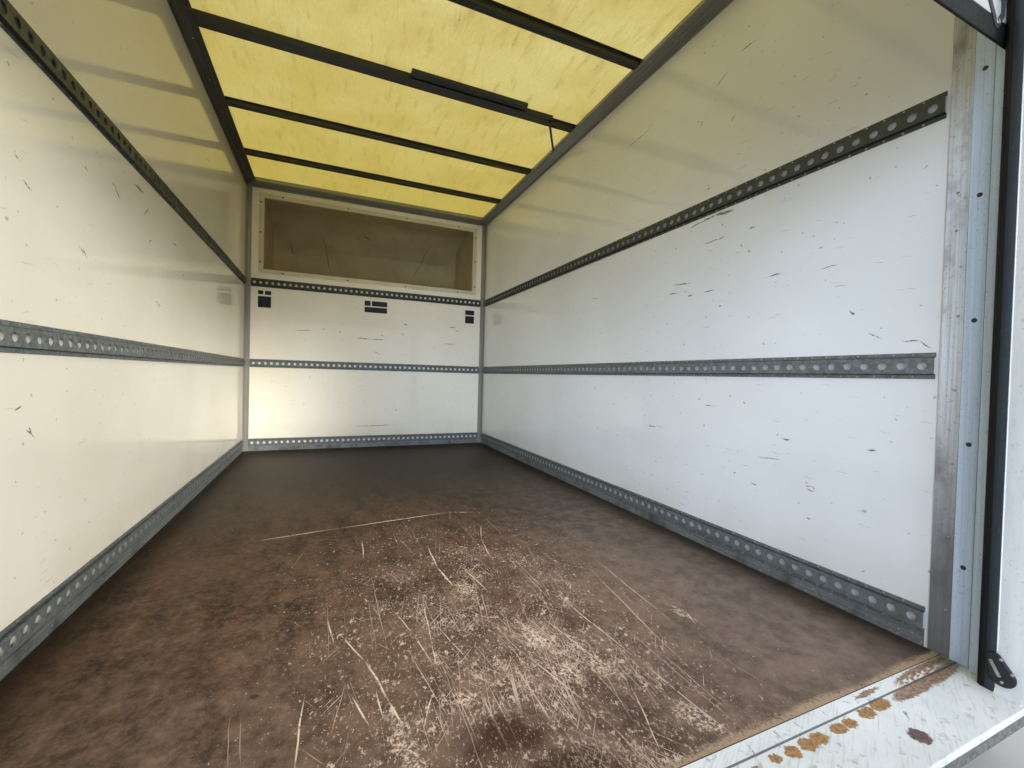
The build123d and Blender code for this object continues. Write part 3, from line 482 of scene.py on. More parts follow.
# Woven polyester webbing: dull black with a rib every 1.5 mm, drawn at 6 mm so that it still shows.
# A wave pattern of scale 1 has a band every 2 pi / 20 metres.
def make_webbing():
    material, tree, point = start_material("black_webbing", Sheen_Weight=0.2)
    ribs = add(tree, "TexWave", {"Vector": point, "Scale": 2 * math.pi / 20 * per_metre(6), "Distortion": 0.4},
               bands_direction="Z").outputs["Fac"]
    return dress(material, paint(tree, "#17171A", (ribs, "#2C2C30")), (ribs, 0.75, 0.9), (ribs, 0.6, 0.5))


SIDE_SKIN = HALF + WALL_SKIN
FRONT_SKIN = FRONT_WALL + WALL_SKIN
right_panel = make_gelcoat_panel("gelcoat_panel_right", 1, "#E4E8EA", "#D8DADA", RIGHT_MARKS, SIDE_SKIN)
# The left wall's upper part takes a painted shade in its under_roof tone
left_panel = make_gelcoat_panel("gelcoat_panel_left", 1, "#EBE9E0", "#DEDACC", LEFT_MARKS, SIDE_SKIN,
                                under_roof="#A59F8C")
front_panel = make_gelcoat_panel("gelcoat_panel_front", 0, "#F1ECDF", "#E7E2D1", FRONT_MARKS, FRONT_SKIN)
plywood = make_phenolic_floor()
laminate = make_roof_laminate()
raw_laminate = make_raw_laminate()
sill_enamel = make_sill_enamel()
webbing = make_webbing()
galvanised = make_galvanised("galvanised_steel", "#9A9EA0", "#7C8083", 0.9)
# The tie rails are older zinc, dulled; their sloped webs take a darker copy of it, a painted shade, so they
# look nearly black, and the top rail on each wall takes a painted shade too
rail_zinc = make_galvanised("dulled_galvanised_steel", "#788082", "#626A6C", 0.3, upper="#363A34")
rail_web_zinc_shaded = make_galvanised("shaded_galvanised_steel", "#4A5052", "#363B3D", 0.3, upper="#1E201C")
# Rolled steel bows, painted dark and dusty
bow_paint = make_finish("bow_enamel", "#3A3A34", "#2A2A26", "#5C5A4C", 0.2, 0.5, (300, 9, 9))
# Chassis enamel: sprayed black, satin, with road dust
black_paint = make_finish("chassis_enamel", "#1B1C1E", "#26272A", "#4A4842", 0.0, 0.42, (60, 60, 60), fleck=30)
# Extruded aluminium, mill finish: fine lines along the extrusion, dulled and scuffed
side_aluminium = make_finish("extruded_aluminium", "#9C9D99", "#83847F", "#B7B8B2", 0.6, 0.42, (7, 500, 7))
cross_aluminium = make_finish("extruded_aluminium_cross", "#9C9D99", "#83847F", "#B7B8B2", 0.6, 0.42,
                              (500, 7, 7))
post_aluminium = make_finish("extruded_aluminium_post", "#A6A59C", "#8F8E85", "#C1C0B6", 0.5, 0.4, (9, 9, 600))
# The left-hand upper rail takes a darker copy of the extrusion than the right-hand one, a painted shade
shaded_left_aluminium = make_finish("shaded_left_aluminium", "#4C4B42", "#3B3A32", "#6A695F", 0.5, 0.48, (7, 500, 7))
# Brushed aluminium end caps: pale and lined upright, smudged by hands, with a grey-brown painted shade above
# and below the middle height
cap_aluminium = make_finish("brushed_aluminium", "#E4ECF6", "#BEC6D2", "#8C8F94", 0.2, 0.34, (5, 5, 420),
                            fleck=9, smudge="#7C7F84", ends="#5C5A57")
# Rolled aluminium kick strips: scoured along the floor by the load, with dark dirt between
kick_aluminium = make_finish("kicked_aluminium", "#8C9192", "#6A6D6D", "#C9CCCC", 0.4, 0.42, (5, 300, 5),
                             fleck=12, smudge="#41423D")
# Anodised aluminium guide: pale blue-grey satin with rubbed lines from the rollers
guide_aluminium = make_finish("anodised_aluminium", "#D2E8FE", "#C0D6EE", "#9CABBC", 0.05, 0.34, (6, 6, 700),
                              fleck=7)
# Sprayed enamel on the steel portal and slats: white, glossy, lightly soiled; the rolled edge of the
# post is painted brighter still, a painted highlight
portal_enamel = make_finish("portal_enamel", "#E3E8EA", "#D6DCDF", "#B4B8B8", 0.0, 0.28, (40, 40, 300), fleck=9,
                            relief=0.05)
bead_highlight_enamel = make_finish("bead_highlight_enamel", "#F7F9FA", "#EDF0F2", "#C9CDCE", 0.0, 0.22, (40, 40, 300), fleck=9,
                          relief=0.05)
# Gunned joint sealant: dark grey and dull, with dust along it
joint_sealant = make_finish("joint_sealant", "#3C4248", "#2B3035", "#5A6066", 0.0, 0.55, (6, 6, 60), fleck=9,
                            relief=0.05)
# White-lacquered aluminium trim: satin, aged to cream
trim = make_finish("white_trim_strip", "#D3CCB6", "#C5BEA4", "#A39F8E", 0.0, 0.35, (200, 200, 200), fleck=8,
                   relief=0.05)
# Extruded rubber: near black and dull; a copy for the seal's face is grey-blue, with dust and a painted sky
# sheen
rubber = make_finish("black_rubber", "#08090B", "#0F1114", "#1C2024", 0.0, 0.65, (8, 8, 300), fleck=10,
                     Specular_IOR_Level=0.3)
dust_and_sheen_rubber = make_finish("dust_and_sheen_rubber", "#27343C", "#1D282F", "#3E4B54", 0.0, 0.5, (12, 12, 500), fleck=10)
# Moulded ABS: black with a fine grain
black_plastic = make_finish("moulded_abs", "#141519", "#202126", "#34353A", 0.0, 0.42, (3, 3, 3), fleck=7)
# Zinc-plated steel: bright on turned screw heads, dark grey where it has weathered
dark_zinc = make_finish("dark_zinc", "#34373A", "#484C4F", "#8C9093", 0.4, 0.4, (3, 3, 3), fleck=4)
screw_zinc = make_finish("bright_zinc", "#B9BDBE", "#9DA2A4", "#7F8486", 0.9, 0.32, (3, 3, 3), fleck=4)
# Printed vinyl label, blank: navy, satin, scuffed pale
navy_vinyl = make_finish("navy_vinyl", "#0E1228", "#151A33", "#3A4060", 0.0, 0.45, (20, 20, 20), fleck=6,
                         relief=0.02)
# Moulded acrylic lenses: glossy, with fine ribs
amber = make_finish("amber_acrylic", "#D07A1E", "#B9630F", "#E49A45", 0.0, 0.16, (4, 4, 60), fleck=5,
                    relief=0.5)
red = make_finish("red_acrylic", "#A71F1B", "#8A1412", "#C4423A", 0.0, 0.16, (4, 4, 60), fleck=5, relief=0.5)

FINISHES = {
    "floor_ply": plywood, "bearer_steel": galvanised, "runner_steel": black_paint, "cleat_steel": black_paint,
    "wall_panel": right_panel, "rail_aluminium": side_aluminium, "corner_aluminium": post_aluminium,
    "roof_laminate": laminate, "bow_steel": bow_paint, "tie_rail_steel": rail_zinc,
    "kick_aluminium": kick_aluminium, "pod_laminate": front_panel, "trim_white": trim,
    "portal_paint": portal_enamel, "rave_steel": galvanised, "guide_aluminium": guide_aluminium,
    "cap_aluminium": cap_aluminium, "seal_rubber": rubber, "cleat_plastic": black_plastic,
    "slat_paint": portal_enamel, "drum_steel": galvanised, "strap_webbing": webbing,
    "lamp_plastic": black_plastic, "marker_lens": amber, "rear_marker_lens": red,
}
NODE_FINISHES = {
    "side_panel_left": left_panel, "front_panel": front_panel, "rear_sill": sill_enamel,
    "front_top_rail": cross_aluminium, "front_lower_rail": cross_aluminium,
    "cant_rail_left": shaded_left_aluminium,
}
slot_of = {part["node"]: part["material_slot"] for part in frame["record"]["subparts"]}
for node_name, cad_object in frame["nodes"].items():
    cad_object.data.materials.clear()
    cad_object.data.materials.append(NODE_FINISHES.get(node_name, FINISHES[slot_of[node_name]]))


def stand(name, data):
    """An object of this data, in the scene."""
    made = bpy.data.objects.new(name, data)
    bpy.context.scene.collection.objects.link(made)
    return made


def finish_piece(name, form, materials, stands_for=(), crease=None):
    """Makes a piece of a bmesh: it rides on the body and takes the finishes given."""
    mesh = bpy.data.meshes.new(name)
    form.to_mesh(mesh)
    form.free()
    for material in materials:
        mesh.materials.append(material)
    if crease is not None:
        mesh.shade_smooth()
        mesh.set_sharp_from_angle(angle=math.radians(crease))
    piece = stand(name, mesh)
    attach(piece, "root")
    if stands_for:
        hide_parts(*stands_for)
    return piece


def everything(form):
    """All of a form, as the operators want it."""
    return form.verts[:] + form.edges[:] + form.faces[:]


def verts_of(geometry):
    """Only the corner points of what an operator gives back."""
    return [each for each in geometry if isinstance(each, bmesh.types.BMVert)]


def add_block(form, size, middle, turn=0):
    """A block of this size, turned about z by degrees and then moved to its middle."""
    verts = bmesh.ops.create_cube(form, size=1)["verts"]
    bmesh.ops.scale(form, verts=verts, vec=size)
    if turn:
        bmesh.ops.rotate(form, verts=verts, matrix=Matrix.Rotation(math.radians(turn), 3, "Z"), cent=(0, 0, 0))
    bmesh.ops.translate(form, verts=verts, vec=middle)
    return verts


def round_edges(form, edges, radius, segments):
    """Rounds edges with a bevel of even profile."""
    bmesh.ops.bevel(form, geom=edges, offset=radius, offset_type="OFFSET", segments=segments, profile=0.5,
                    affect="EDGES", material=-1, clamp_overlap=True)


def mirror_to_left(form):
    """Adds a form's mirror image on the left, and turns all faces outward."""
    bmesh.ops.mirror(form, geom=everything(form), axis="X", merge_dist=0)
    bmesh.ops.recalc_face_normals(form, faces=form.faces[:])


def on_wall(right, up, out, origin):
    """Carries a form drawn flat (x to the right, y up, z out of the wall) to its wall."""
    return Matrix.Translation(origin) @ Matrix((right, up, out)).transposed().to_4x4()


RIGHT = on_wall((0, -1, 0), (0, 0, 1), (-1, 0, 0), (HALF, 0, 0))
LEFT = on_wall((0, 1, 0), (0, 0, 1), (1, 0, 0), (-HALF, 0, 0))
FRONT = on_wall((1, 0, 0), (0, 0, 1), (0, -1, 0), (0, FRONT_WALL, 0))


def draw_tie_rail(form, first_hole, holes, start, end):
    """One tie rail along x, centred on y = 0: a row of round holes in a crown, two sloped webs and
    two flanges."""
    bmesh.ops.create_circle(form, segments=16, radius=HOLE_RADIUS)
    square = bmesh.ops.create_grid(form, x_segments=4, y_segments=4, size=1)["verts"]
    reach = max(vert.co.x for vert in square)
    inner = [vert for vert in square if max(abs(vert.co.x), abs(vert.co.y)) < 0.9 * reach]
    bmesh.ops.delete(form, geom=inner, context="VERTS")
    border = [vert for vert in form.verts if vert.co.length > 0.9 * reach]
    bmesh.ops.scale(form, verts=border, vec=(HOLE_PITCH / 2 / reach, CROWN_HALF / reach, 1))
    bmesh.ops.bridge_loops(form, edges=form.edges[:])
    bmesh.ops.translate(form, verts=form.verts[:], vec=(0, 0, RAIL_PROUD))
    for side in (1, -1):
        rim = [edge for edge in form.edges
               if all(abs(vert.co.y - side * CROWN_HALF) < 1e-6 for vert in edge.verts)]
        for step, drop in ((WEB_SLOPE, RAIL_PROUD - RAIL_WALL), (FLANGE, 0)):
            grown = bmesh.ops.extrude_edge_only(form, edges=rim)["geom"]
            verts = verts_of(grown)
            bmesh.ops.translate(form, verts=verts, vec=(0, side * step, -drop))
            rim = [each for each in grown
                   if isinstance(each, bmesh.types.BMEdge) and all(vert in verts for vert in each.verts)]
    cell = everything(form)
    for hole in range(1, holes):
        verts = verts_of(bmesh.ops.duplicate(form, geom=cell)["geom"])
        bmesh.ops.translate(form, verts=verts, vec=(hole * HOLE_PITCH, 0, 0))
    bmesh.ops.translate(form, verts=form.verts[:], vec=(first_hole, 0, 0))
    bmesh.ops.remove_doubles(form, verts=form.verts[:], dist=1e-5)
    for vert in form.verts:
        if vert.co.x < first_hole - 0.49 * HOLE_PITCH:
            vert.co.x = start
        elif vert.co.x > first_hole + (holes - 0.51) * HOLE_PITCH:
            vert.co.x = end
    bmesh.ops.recalc_face_normals(form, faces=form.faces[:])
    form.normal_update()
    if sum(face.normal.z for face in form.faces) < 0:
        bmesh.ops.reverse_faces(form, faces=form.faces[:])


def make_tie_rails(side, wall, first_hole, holes, start, end):
    """Three rails of one wall, their sloped webs in the darker finish of painted shade."""
    form = bmesh.new()
    draw_tie_rail(form, first_hole, holes, start, end)
    rail = everything(form)
    for level in RAIL_LEVELS[1:]:
        verts = verts_of(bmesh.ops.duplicate(form, geom=rail)["geom"])
        bmesh.ops.translate(form, verts=verts, vec=(0, level - RAIL_LEVELS[0], 0))
    bmesh.ops.translate(form, verts=form.verts[:], vec=(0, RAIL_LEVELS[0], 0))
    form.normal_update()
    # The sloped webs take the darker copy, a painted shade
    for face in form.faces:
        face.material_index = int(abs(face.normal.y) > 0.5)
    form.transform(wall)
    piece = finish_piece("perforated_tie_rails_" + side, form, [rail_zinc, rail_web_zinc_shaded],
                         stands_for=["tie_rails_" + side])
    thickness = piece.modifiers.new("rail_wall", "SOLIDIFY")
    thickness.thickness = RAIL_WALL
    thickness.offset = -1


# Holes counted on the photographed rails, and the first one's place from the rear end
TIE_LOW, TIE_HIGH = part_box("tie_rails_right")
FRONT_TIE_LOW, FRONT_TIE_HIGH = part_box("tie_rails_front")
SIDE_HOLES = 79
FRONT_HOLES = 45
NEAR_HOLE = TIE_LOW.y + 28 * MM
FAR_HOLE = NEAR_HOLE + (SIDE_HOLES - 1) * HOLE_PITCH
make_tie_rails("right", RIGHT, -FAR_HOLE, SIDE_HOLES, -TIE_HIGH.y, -TIE_LOW.y)
make_tie_rails("left", LEFT, NEAR_HOLE, SIDE_HOLES, TIE_LOW.y, TIE_HIGH.y)
make_tie_rails("front", FRONT, -(FRONT_HOLES - 1) * HOLE_PITCH / 2, FRONT_HOLES, FRONT_TIE_LOW.x,
               FRONT_TIE_HIGH.x)


def make_heads(name, places, radius, height, material, sides=8):
    """Low round heads of screws or rivets; each place is a point and the way its head faces."""
    form = bmesh.new()
    for point, out in places:
        out = Vector(out).normalized()
        middle = Matrix.Translation(Vector(point) + out * (height / 2 - 0.1 * MM))
        bmesh.ops.create_cone(form, cap_ends=True, segments=sides, radius1=radius, radius2=radius * 0.6,
                              depth=height, matrix=middle @ out.to_track_quat("Z", "Y").to_matrix().to_4x4())
    finish_piece(name, form, [material])


def rail_screws(wall, first, count, pitch, stagger):
    """Screws along both flanges of the three rails, the lower row moved along by the stagger; metres."""
    places = []
    facing = wall.to_3x3() @ Vector((0, 0, 1))
    for level in RAIL_LEVELS:
        for k in range(count):
            for side in (1, -1):
                shift = 0 if side > 0 else stagger
                off = side * (CROWN_HALF + WEB_SLOPE + FLANGE / 2)
                places.append((wall @ Vector((first + k * pitch + shift, level + off, RAIL_WALL)), facing))
    return places


# Screws stand at every hole on the right, and at every third on the left and in front
WIDE_PITCH = 3 * HOLE_PITCH
for side, screws in (("right", rail_screws(RIGHT, -1.541, 78, HOLE_PITCH, 0)),
                     ("left", rail_screws(LEFT, -2.30, 26, WIDE_PITCH, WIDE_PITCH / 2)),
                     ("front", rail_screws(FRONT, -1.05, 15, WIDE_PITCH, WIDE_PITCH / 2))):
    make_heads("tie_rail_screws_" + side, screws, 3.6 * MM, 1.6 * MM, screw_zinc)

# Pod frame: blind rivets round its four strips, measured on each
frame_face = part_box("pod_frame")[0].y
frame_rivets = [(-.878, 2.605), (-.292, 2.605), (.285, 2.605), (.857, 2.605), (-.868, 1.885), (-.286, 1.885),
                (.286, 1.885), (.861, 1.885), (-1.058, 2.535), (-1.058, 2.254), (-1.058, 1.974),
                (1.055, 2.512), (1.055, 2.243), (1.055, 1.962)]
make_heads("pod_frame_rivets", [((x, frame_face, z), (0, -1, 0)) for x, z in frame_rivets], 8 * MM, 2.2 * MM,
           dark_zinc, sides=12)


def both_sides(*rows):
    """Rows of heads on the right, and their mirror images on the left."""
    return [((side * start[0], *start[1:]), step, count, (side * way[0], *way[1:]))
            for side in (1, -1) for start, step, count, way in rows]


def seat_heads(name, node, rows, radius=4 * MM, height=1.5 * MM, material=screw_zinc, sides=8):
    """Heads seated on a CAD piece, rivets where nothing else is said: each row is a start, a step,
    a count and the way to look for the surface."""
    places = []
    seat = frame["nodes"][node]
    for start, step, count, way in rows:
        for k in range(count):
            found, point, normal, _ = seat.ray_cast(Vector(start) + k * Vector(step), Vector(way))
            if found:
                places.append((point, normal))
    make_heads(name, places, radius, height, material, sides)


# Rear end caps and shutter guides: screws with worn bright heads, and dark bolts a third of a metre apart
bpy.context.view_layer.update()
OUT = (1, 0, 0)
seat_heads("cap_screws", "wall_end_caps", both_sides(((0, -2.385, 1.862), (0, 0, 0.37), 2, OUT),
                                                     ((0, -2.395, 1.512), (0, 0, -0.107), 2, OUT),
                                                     ((0, -2.407, 1.162), (0, 0, -0.21), 5, OUT)), sides=10)
seat_heads("guide_bolts", "shutter_guides", both_sides(((0, -2.441, 0.46), (0, 0, 0.343), 6, OUT)), 6.5 * MM,
           3 * MM, dark_zinc, sides=12)

# Rivets of the body frame, inside and outside
for side, sign in (("left", -1), ("right", 1)):
    inward = (-sign, 0, 0)
    seat_heads("cant_rail_rivets_" + side, "cant_rail_" + side,
               [((sign * 1.14, -2.35, 2.4), (0, 0.3504, 0), 12, (0, 0, 1)),
                ((sign * 1.4, -2.40, 2.648), (0, 0.10, 0), 41, inward)])
    seat_heads("side_rave_rivets_" + side, "side_rave_" + side,
               [((sign * 1.4, -2.45, 0.222), (0, 0.10, 0), 41, inward),
                ((sign * 1.4, -2.40, 0.190), (0, 0.20, 0), 20, inward)])
seat_heads("inner_angle_rivets", "front_inner_angles",
           both_sides(((0.9, 1.632, 0.40), (0, 0, 0.175), 13, OUT),
                      ((1.152, 1.3, 0.32), (0, 0, 0.175), 13, (0, 1, 0))))
seat_heads("corner_post_rivets", "front_corner_posts",
           both_sides(((1.4, 1.628, 0.30), (0, 0, 0.12), 20, (-1, 0, 0)),
                      ((1.152, 1.9, 0.30), (0, 0, 0.12), 20, (0, -1, 0))))
for name, node, level in (("front_rail_rivets", "front_top_rail", 2.675),
                          ("front_rave_rivets", "front_lower_rail", 0.222)):
    seat_heads(name, node, [((-1.05, 1.9, level), (0.105, 0, 0), 21, (0, -1, 0))])
seat_heads("kick_strip_screws", "kick_strips", both_sides(((0, -2.3, 0.21), (0, 0.3, 0), 14, OUT)),
           3.6 * MM, 1.4 * MM)
seat_heads("header_bolts", "rear_header", both_sides(*[((x, -3, 2.45), (0, 0, 0.25), 2, (0, 1, 0))
                                                       for x in (1.12, 1.17)]), 7 * MM, 4 * MM, sides=6)

# The posts' inner face, along x
POST_FACE = 1.104


def make_cleats():
    """Cleats for the pull strap on the posts' inner faces: a black moulded shield with a worn metal
    ridge and three screws, drawn flat on the right."""
    form = bmesh.new()
    rim = []
    for y, z, radius in ((2.546, .240, 25), (2.531, .281, 13)):
        for lift, share in ((0, 1.0), (4, 1.0), (7, 0.86)):
            rim += bmesh.ops.create_circle(form, segments=28, radius=radius * share * MM,
                                           matrix=Matrix.Translation((y, z, lift * MM)))["verts"]
    hull = bmesh.ops.convex_hull(form, input=rim)
    bmesh.ops.delete(form, geom=verts_of(hull["geom_interior"] + hull["geom_unused"]), context="VERTS")
    bmesh.ops.dissolve_limit(form, angle_limit=math.radians(1), verts=form.verts[:], edges=form.edges[:])
    ridge = add_block(form, (8 * MM, 40 * MM, 4 * MM), (2.534, 0.256, 7.5 * MM), turn=28)
    round_edges(form, list({edge for vert in ridge for edge in vert.link_edges}), 1.6 * MM, 2)
    for face in form.faces:
        if face.calc_center_median().z > 7.05 * MM:
            face.material_index = 1
    for y, z in ((2.544, .282), (2.564, .256), (2.547, .227)):
        screw = bmesh.ops.create_cone(form, cap_ends=True, segments=12, radius1=4 * MM, radius2=2.6 * MM,
                                      depth=2 * MM, matrix=Matrix.Translation((y, z, 7.6 * MM)))["verts"]
        for face in {face for vert in screw for face in vert.link_faces}:
            face.material_index = 1
    form.transform(on_wall((0, -1, 0), (0, 0, 1), (-1, 0, 0), (POST_FACE, 0, 0)))
    mirror_to_left(form)
    finish_piece("strap_cleats", form, [black_plastic, screw_zinc], stands_for=["post_cleats"],
                 crease=35)


def make_eyelet():
    """A zinc ring where the strap's two ends meet under the rubber."""
    form = bmesh.new()
    upright = Matrix.Rotation(math.radians(90), 4, "X")
    bmesh.ops.create_circle(form, segments=8, radius=1.6 * MM,
                            matrix=Matrix.Translation((7 * MM, 0, 0)) @ upright)
    bmesh.ops.spin(form, geom=form.verts[:] + form.edges[:], cent=(0, 0, 0), axis=(0, 0, 1),
                   angle=math.radians(360), steps=24, use_merge=True)
    bmesh.ops.remove_doubles(form, verts=form.verts[:], dist=1e-6)
    bmesh.ops.recalc_face_normals(form, faces=form.faces[:])
    form.transform(Matrix.Translation((1.066, -2.499, 1.879)) @ upright)
    finish_piece("strap_eyelet", form, [screw_zinc], crease=60)


make_cleats()
make_eyelet()

# The pod's faceted corners are welded where they lie closer than this
POD_WELD = 2 * MM


def make_pod():
    """One moulded shell, gelcoat outside, raw laminate on the faces that can see its middle."""
    form = bmesh.new()
    form.from_mesh(frame["nodes"]["pod_shell"].data)
    bmesh.ops.remove_doubles(form, verts=form.verts[:], dist=POD_WELD)
    form.normal_update()
    shell = BVHTree.FromBMesh(form)
    hollow = [Vector((x, y, z)) for x in (-0.8, 0, 0.8) for y, z in ((1.8, 2.25), (2.1, 2.25), (2.4, 2.2))]
    for face in form.faces:
        start = face.calc_center_median() + face.normal * MM
        for inner in hollow:
            way = inner - start
            if way.dot(face.normal) > 0 and shell.ray_cast(start, way.normalized(), way.length)[0] is None:
                face.material_index = 1
                break
    finish_piece("moulded_pod", form, [front_panel, raw_laminate], stands_for=["pod_shell"],
                 crease=25)


make_pod()

# Label plates of the front wall, left blank: low and high corners, across and up in metres
PLATES = [(-1.072, 1.672, -1.028, 1.708), (-1.015, 1.670, -.963, 1.708), (-1.072, 1.549, -.963, 1.655),
          (-.12, 1.648, -.062, 1.700), (-.05, 1.648, .104, 1.700), (-.12, 1.581, .104, 1.637),
          (.955, 1.640, 1.06, 1.692), (.955, 1.546, 1.06, 1.628)]


def make_labels():
    """Thin vinyl plates with rounded corners."""
    form = bmesh.new()
    for u1, v1, u2, v2 in PLATES:
        add_block(form, (u2 - u1, v2 - v1, 0.4 * MM), ((u1 + u2) / 2, (v1 + v2) / 2, 0.1 * MM))
    corners = [edge for edge in form.edges if abs(edge.verts[0].co.z - edge.verts[1].co.z) > 0.2 * MM]
    round_edges(form, corners, 4 * MM, 3)
    form.transform(FRONT)
    finish_piece("front_wall_labels", form, [navy_vinyl])


make_labels()


def soften(node, width):
    """A CAD piece with its seams merged and its edges rounded by so many millimetres, in the same finish."""
    source = frame["nodes"][node]
    form = bmesh.new()
    form.from_mesh(source.data)
    bmesh.ops.remove_doubles(form, verts=form.verts[:], dist=1e-5)
    bmesh.ops.dissolve_limit(form, angle_limit=math.radians(0.5), verts=form.verts[:], edges=form.edges[:])
    piece = finish_piece(node + "_rounded", form, [source.data.materials[0]], stands_for=[node],
                         crease=40)
    rounding = piece.modifiers.new("rounding", "BEVEL")
    rounding.width = width * MM
    rounding.segments = 2
    rounding.limit_method = "ANGLE"
    rounding.angle_limit = math.radians(40)
    rounding.harden_normals = True


for node_name, width in (("interior_lamp", 2), ("shutter_bottom_rubber", 4), ("shutter_bottom_bar", 2),
                         ("wall_end_caps", 1), ("shutter_guides", 1), ("rear_post_left", 3),
                         ("rear_post_right", 3), ("side_seals", 2), ("side_markers", 3), ("rear_markers", 3)):
    soften(node_name, width)

# The guide's slot runs along y from its rear to its front, and along x from its lip to its back
SLOT_REAR, SLOT_FRONT, LIP, SLOT_BACK = -2.497, -2.483, 1.158, 1.173
GUIDE_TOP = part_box("shutter_guides")[1].z
GUIDE_FLANGE = HALF - 5 * MM
# Thickness of the slot's liner, of the sealant and of the seal's face with dust and painted sheen, and the
# bead's radius and place
LINER = 0.8 * MM
SEALANT = 1.2 * MM
DUST_AND_SHEEN = 0.3 * MM
BEAD = 1.2 * MM
BEAD_MIDDLE = SILL_REAR + 54 * MM


def make_strips(name, profile, low, high, material):
    """An upright strip of this profile (x, y) on the right of the rear frame, mirrored to the left."""
    form = bmesh.new()
    form.faces.new([form.verts.new((x, y, low)) for x, y in profile])
    grown = bmesh.ops.extrude_face_region(form, geom=form.faces[:])["geom"]
    bmesh.ops.translate(form, verts=verts_of(grown), vec=(0, 0, high - low))
    mirror_to_left(form)
    finish_piece(name, form, [material], crease=40)


# The slot's black liner is partly a real liner and partly painted shade: it blackens the slot as its deep shade
# does
liner = [(LIP, SLOT_REAR), (SLOT_BACK, SLOT_REAR), (SLOT_BACK, SLOT_FRONT), (LIP, SLOT_FRONT),
         (LIP, SLOT_FRONT - LINER), (SLOT_BACK - LINER, SLOT_FRONT - LINER),
         (SLOT_BACK - LINER, SLOT_REAR + LINER), (LIP, SLOT_REAR + LINER)]
make_strips("guide_liners", liner, FLOOR, GUIDE_TOP, rubber)
sealant = [(GUIDE_FLANGE, SLOT_FRONT + 0.018), (GUIDE_FLANGE, SLOT_FRONT + 0.0225),
           (GUIDE_FLANGE - SEALANT, SLOT_FRONT + 0.0200), (LIP, SLOT_FRONT + 0.0186), (LIP, SLOT_FRONT + 0.018)]
make_strips("guide_sealant", sealant, FLOOR, GUIDE_TOP, joint_sealant)
bead = [(POST_FACE - BEAD * math.sin(turn), BEAD_MIDDLE + BEAD * math.cos(turn))
        for turn in (math.radians(30 * k) for k in range(7))]
# The bead is painted brighter than the post, a painted highlight
make_strips("post_edge_bead", bead, 0.30, 2.40, bead_highlight_enamel)
# The seal's face: dust and a painted sky sheen
dust = [(POST_FACE, -2.5335), (POST_FACE - DUST_AND_SHEEN, -2.533), (POST_FACE - DUST_AND_SHEEN, -2.5155), (POST_FACE, -2.515)]
make_strips("seal_dust_and_sheen_face", dust, FLOOR, 2.42, dust_and_sheen_rubber)


def make_end_plates():
    """Plates that close the header's open ends, with rounded corners."""
    header_low, header_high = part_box("rear_header")
    low = Vector((header_low.y + 3.5 * MM, header_low.z + 3.5 * MM))
    high = Vector((header_high.y - 0.5 * MM, header_high.z - 3.5 * MM))
    form = bmesh.new()
    add_block(form, (3 * MM, *(high - low)), (header_high.x - 2.5 * MM, *((low + high) / 2)))
    bars = [edge for edge in form.edges if abs(edge.verts[0].co.x - edge.verts[1].co.x) > 2 * MM]
    round_edges(form, bars, 10 * MM, 4)
    mirror_to_left(form)
    finish_piece("header_end_plates", form, [portal_enamel], crease=40)


make_end_plates()

# Camera: just behind the sill at waist height, turned to the right-hand wall; angles in radians
CAMERA_PLACE = Vector((-0.4623, -3.0352, 0.9572))
CAMERA_YAW = 0.4055
CAMERA_PITCH = -0.0169
CAMERA_ROLL = 0.0266
CAMERA_LENS = 15.166


def set_camera():
    """Looks along +Y, turned to +X by the yaw, tipped up by the pitch and rolled about its axis."""
    data = bpy.data.cameras.new("camera")
    data.lens = CAMERA_LENS
    data.sensor_width = 36
    data.clip_start = 0.02
    camera = stand("camera", data)
    level = Matrix.Rotation(-CAMERA_YAW, 4, "Z") @ Matrix.Rotation(math.radians(90) + CAMERA_PITCH, 4, "X")
    camera.matrix_world = Matrix.Translation(CAMERA_PLACE) @ level @ Matrix.Rotation(CAMERA_ROLL, 4, "Z")
    bpy.context.scene.camera = camera


def add_light(name, kind, way, energy, colour, **settings):
    """A light that shines along a way; settings are its data's own."""
    data = bpy.data.lights.new(name, kind)
    data.energy = energy
    data.color = linear(colour)[:3]
    for setting, value in settings.items():
        setattr(data, setting, value)
    light = stand(name, data)
    light.rotation_euler = Vector(way).to_track_quat("-Z", "Y").to_euler()
    return light


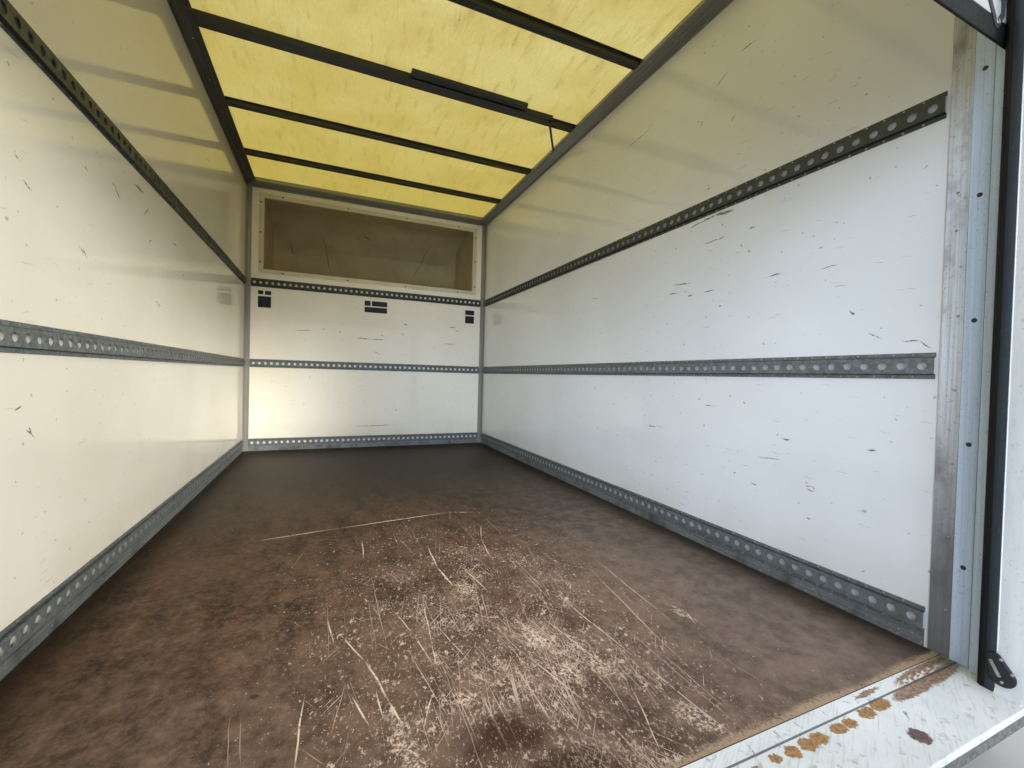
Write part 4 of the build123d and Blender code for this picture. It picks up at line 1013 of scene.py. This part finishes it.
def add_panel_light(name, place, way, size, power, spread, colour):
    """A soft rectangle of light that is not seen itself; spread in degrees narrows its beam."""
    light = add_light(name, "AREA", way, power, colour, shape="RECTANGLE", size=size[0], size_y=size[1],
                      spread=math.radians(spread))
    light.location = place
    light.visible_camera = False
    light.visible_glossy = False


WORLD_LEVEL = 0.5
DOORWAY = (0, -2.47, 1.02)
DOORWAY_SIZE = (2.1, 1.5)
KEY_WAY = (-0.45, 1.0, -0.21)


def set_light():
    """A soft key from behind right, a wide sky behind left and above, a plain pale world, and
    panels in the doorway that carry the same daylight into the load space."""
    add_light("key", "SUN", KEY_WAY, 1.2, "#FFF8EC", angle=math.radians(14))
    add_light("sky_left", "SUN", (0.55, 0.80, -0.40), 1.1, "#D8E8FF", angle=math.radians(70))
    add_light("sky_top", "SUN", (0.05, 0.1, -1.0), 0.7, "#FFFFFF", angle=math.radians(90))
    add_panel_light("doorway_key", DOORWAY, KEY_WAY, DOORWAY_SIZE, 14, 30, "#FFF9F0")
    add_panel_light("doorway_sky", DOORWAY, (0.32, 1.0, -0.20), DOORWAY_SIZE, 17, 72, "#D2E3FF")
    add_panel_light("under_roof", (0, -0.4, 2.62), (0, 0, -1), (2.0, 3.6), 2.5, 180, "#FFF0C8")
    world = bpy.data.worlds.new("studio")
    bpy.context.scene.world = world
    world.use_nodes = True
    tree = world.node_tree
    path = add(tree, "LightPath", ()).outputs
    seen = add(tree, "Math", (path["Is Camera Ray"], path["Is Glossy Ray"]), operation="MAXIMUM")
    shown = add(tree, "Math", (seen, path["Is Transmission Ray"]), operation="MAXIMUM")
    level = add(tree, "MapRange", {"Value": shown, "To Min": WORLD_LEVEL, "To Max": 1.0})
    feed(tree, tree.nodes["Background"], {"Color": linear("#F0F3F7"), "Strength": level})


def set_floor():
    """A pale plain studio floor under the runners."""
    form = bmesh.new()
    bmesh.ops.create_grid(form, x_segments=1, y_segments=1, size=30)
    mesh = bpy.data.meshes.new("studio_floor")
    form.to_mesh(mesh)
    form.free()
    mesh.materials.append(start_material("studio_floor", Roughness=0.8, Base_Color=linear("#DCDCDA"))[0])
    stand("studio_floor", mesh)


set_camera()
set_light()
set_floor()
bpy.context.scene.view_settings.view_transform = "Standard"
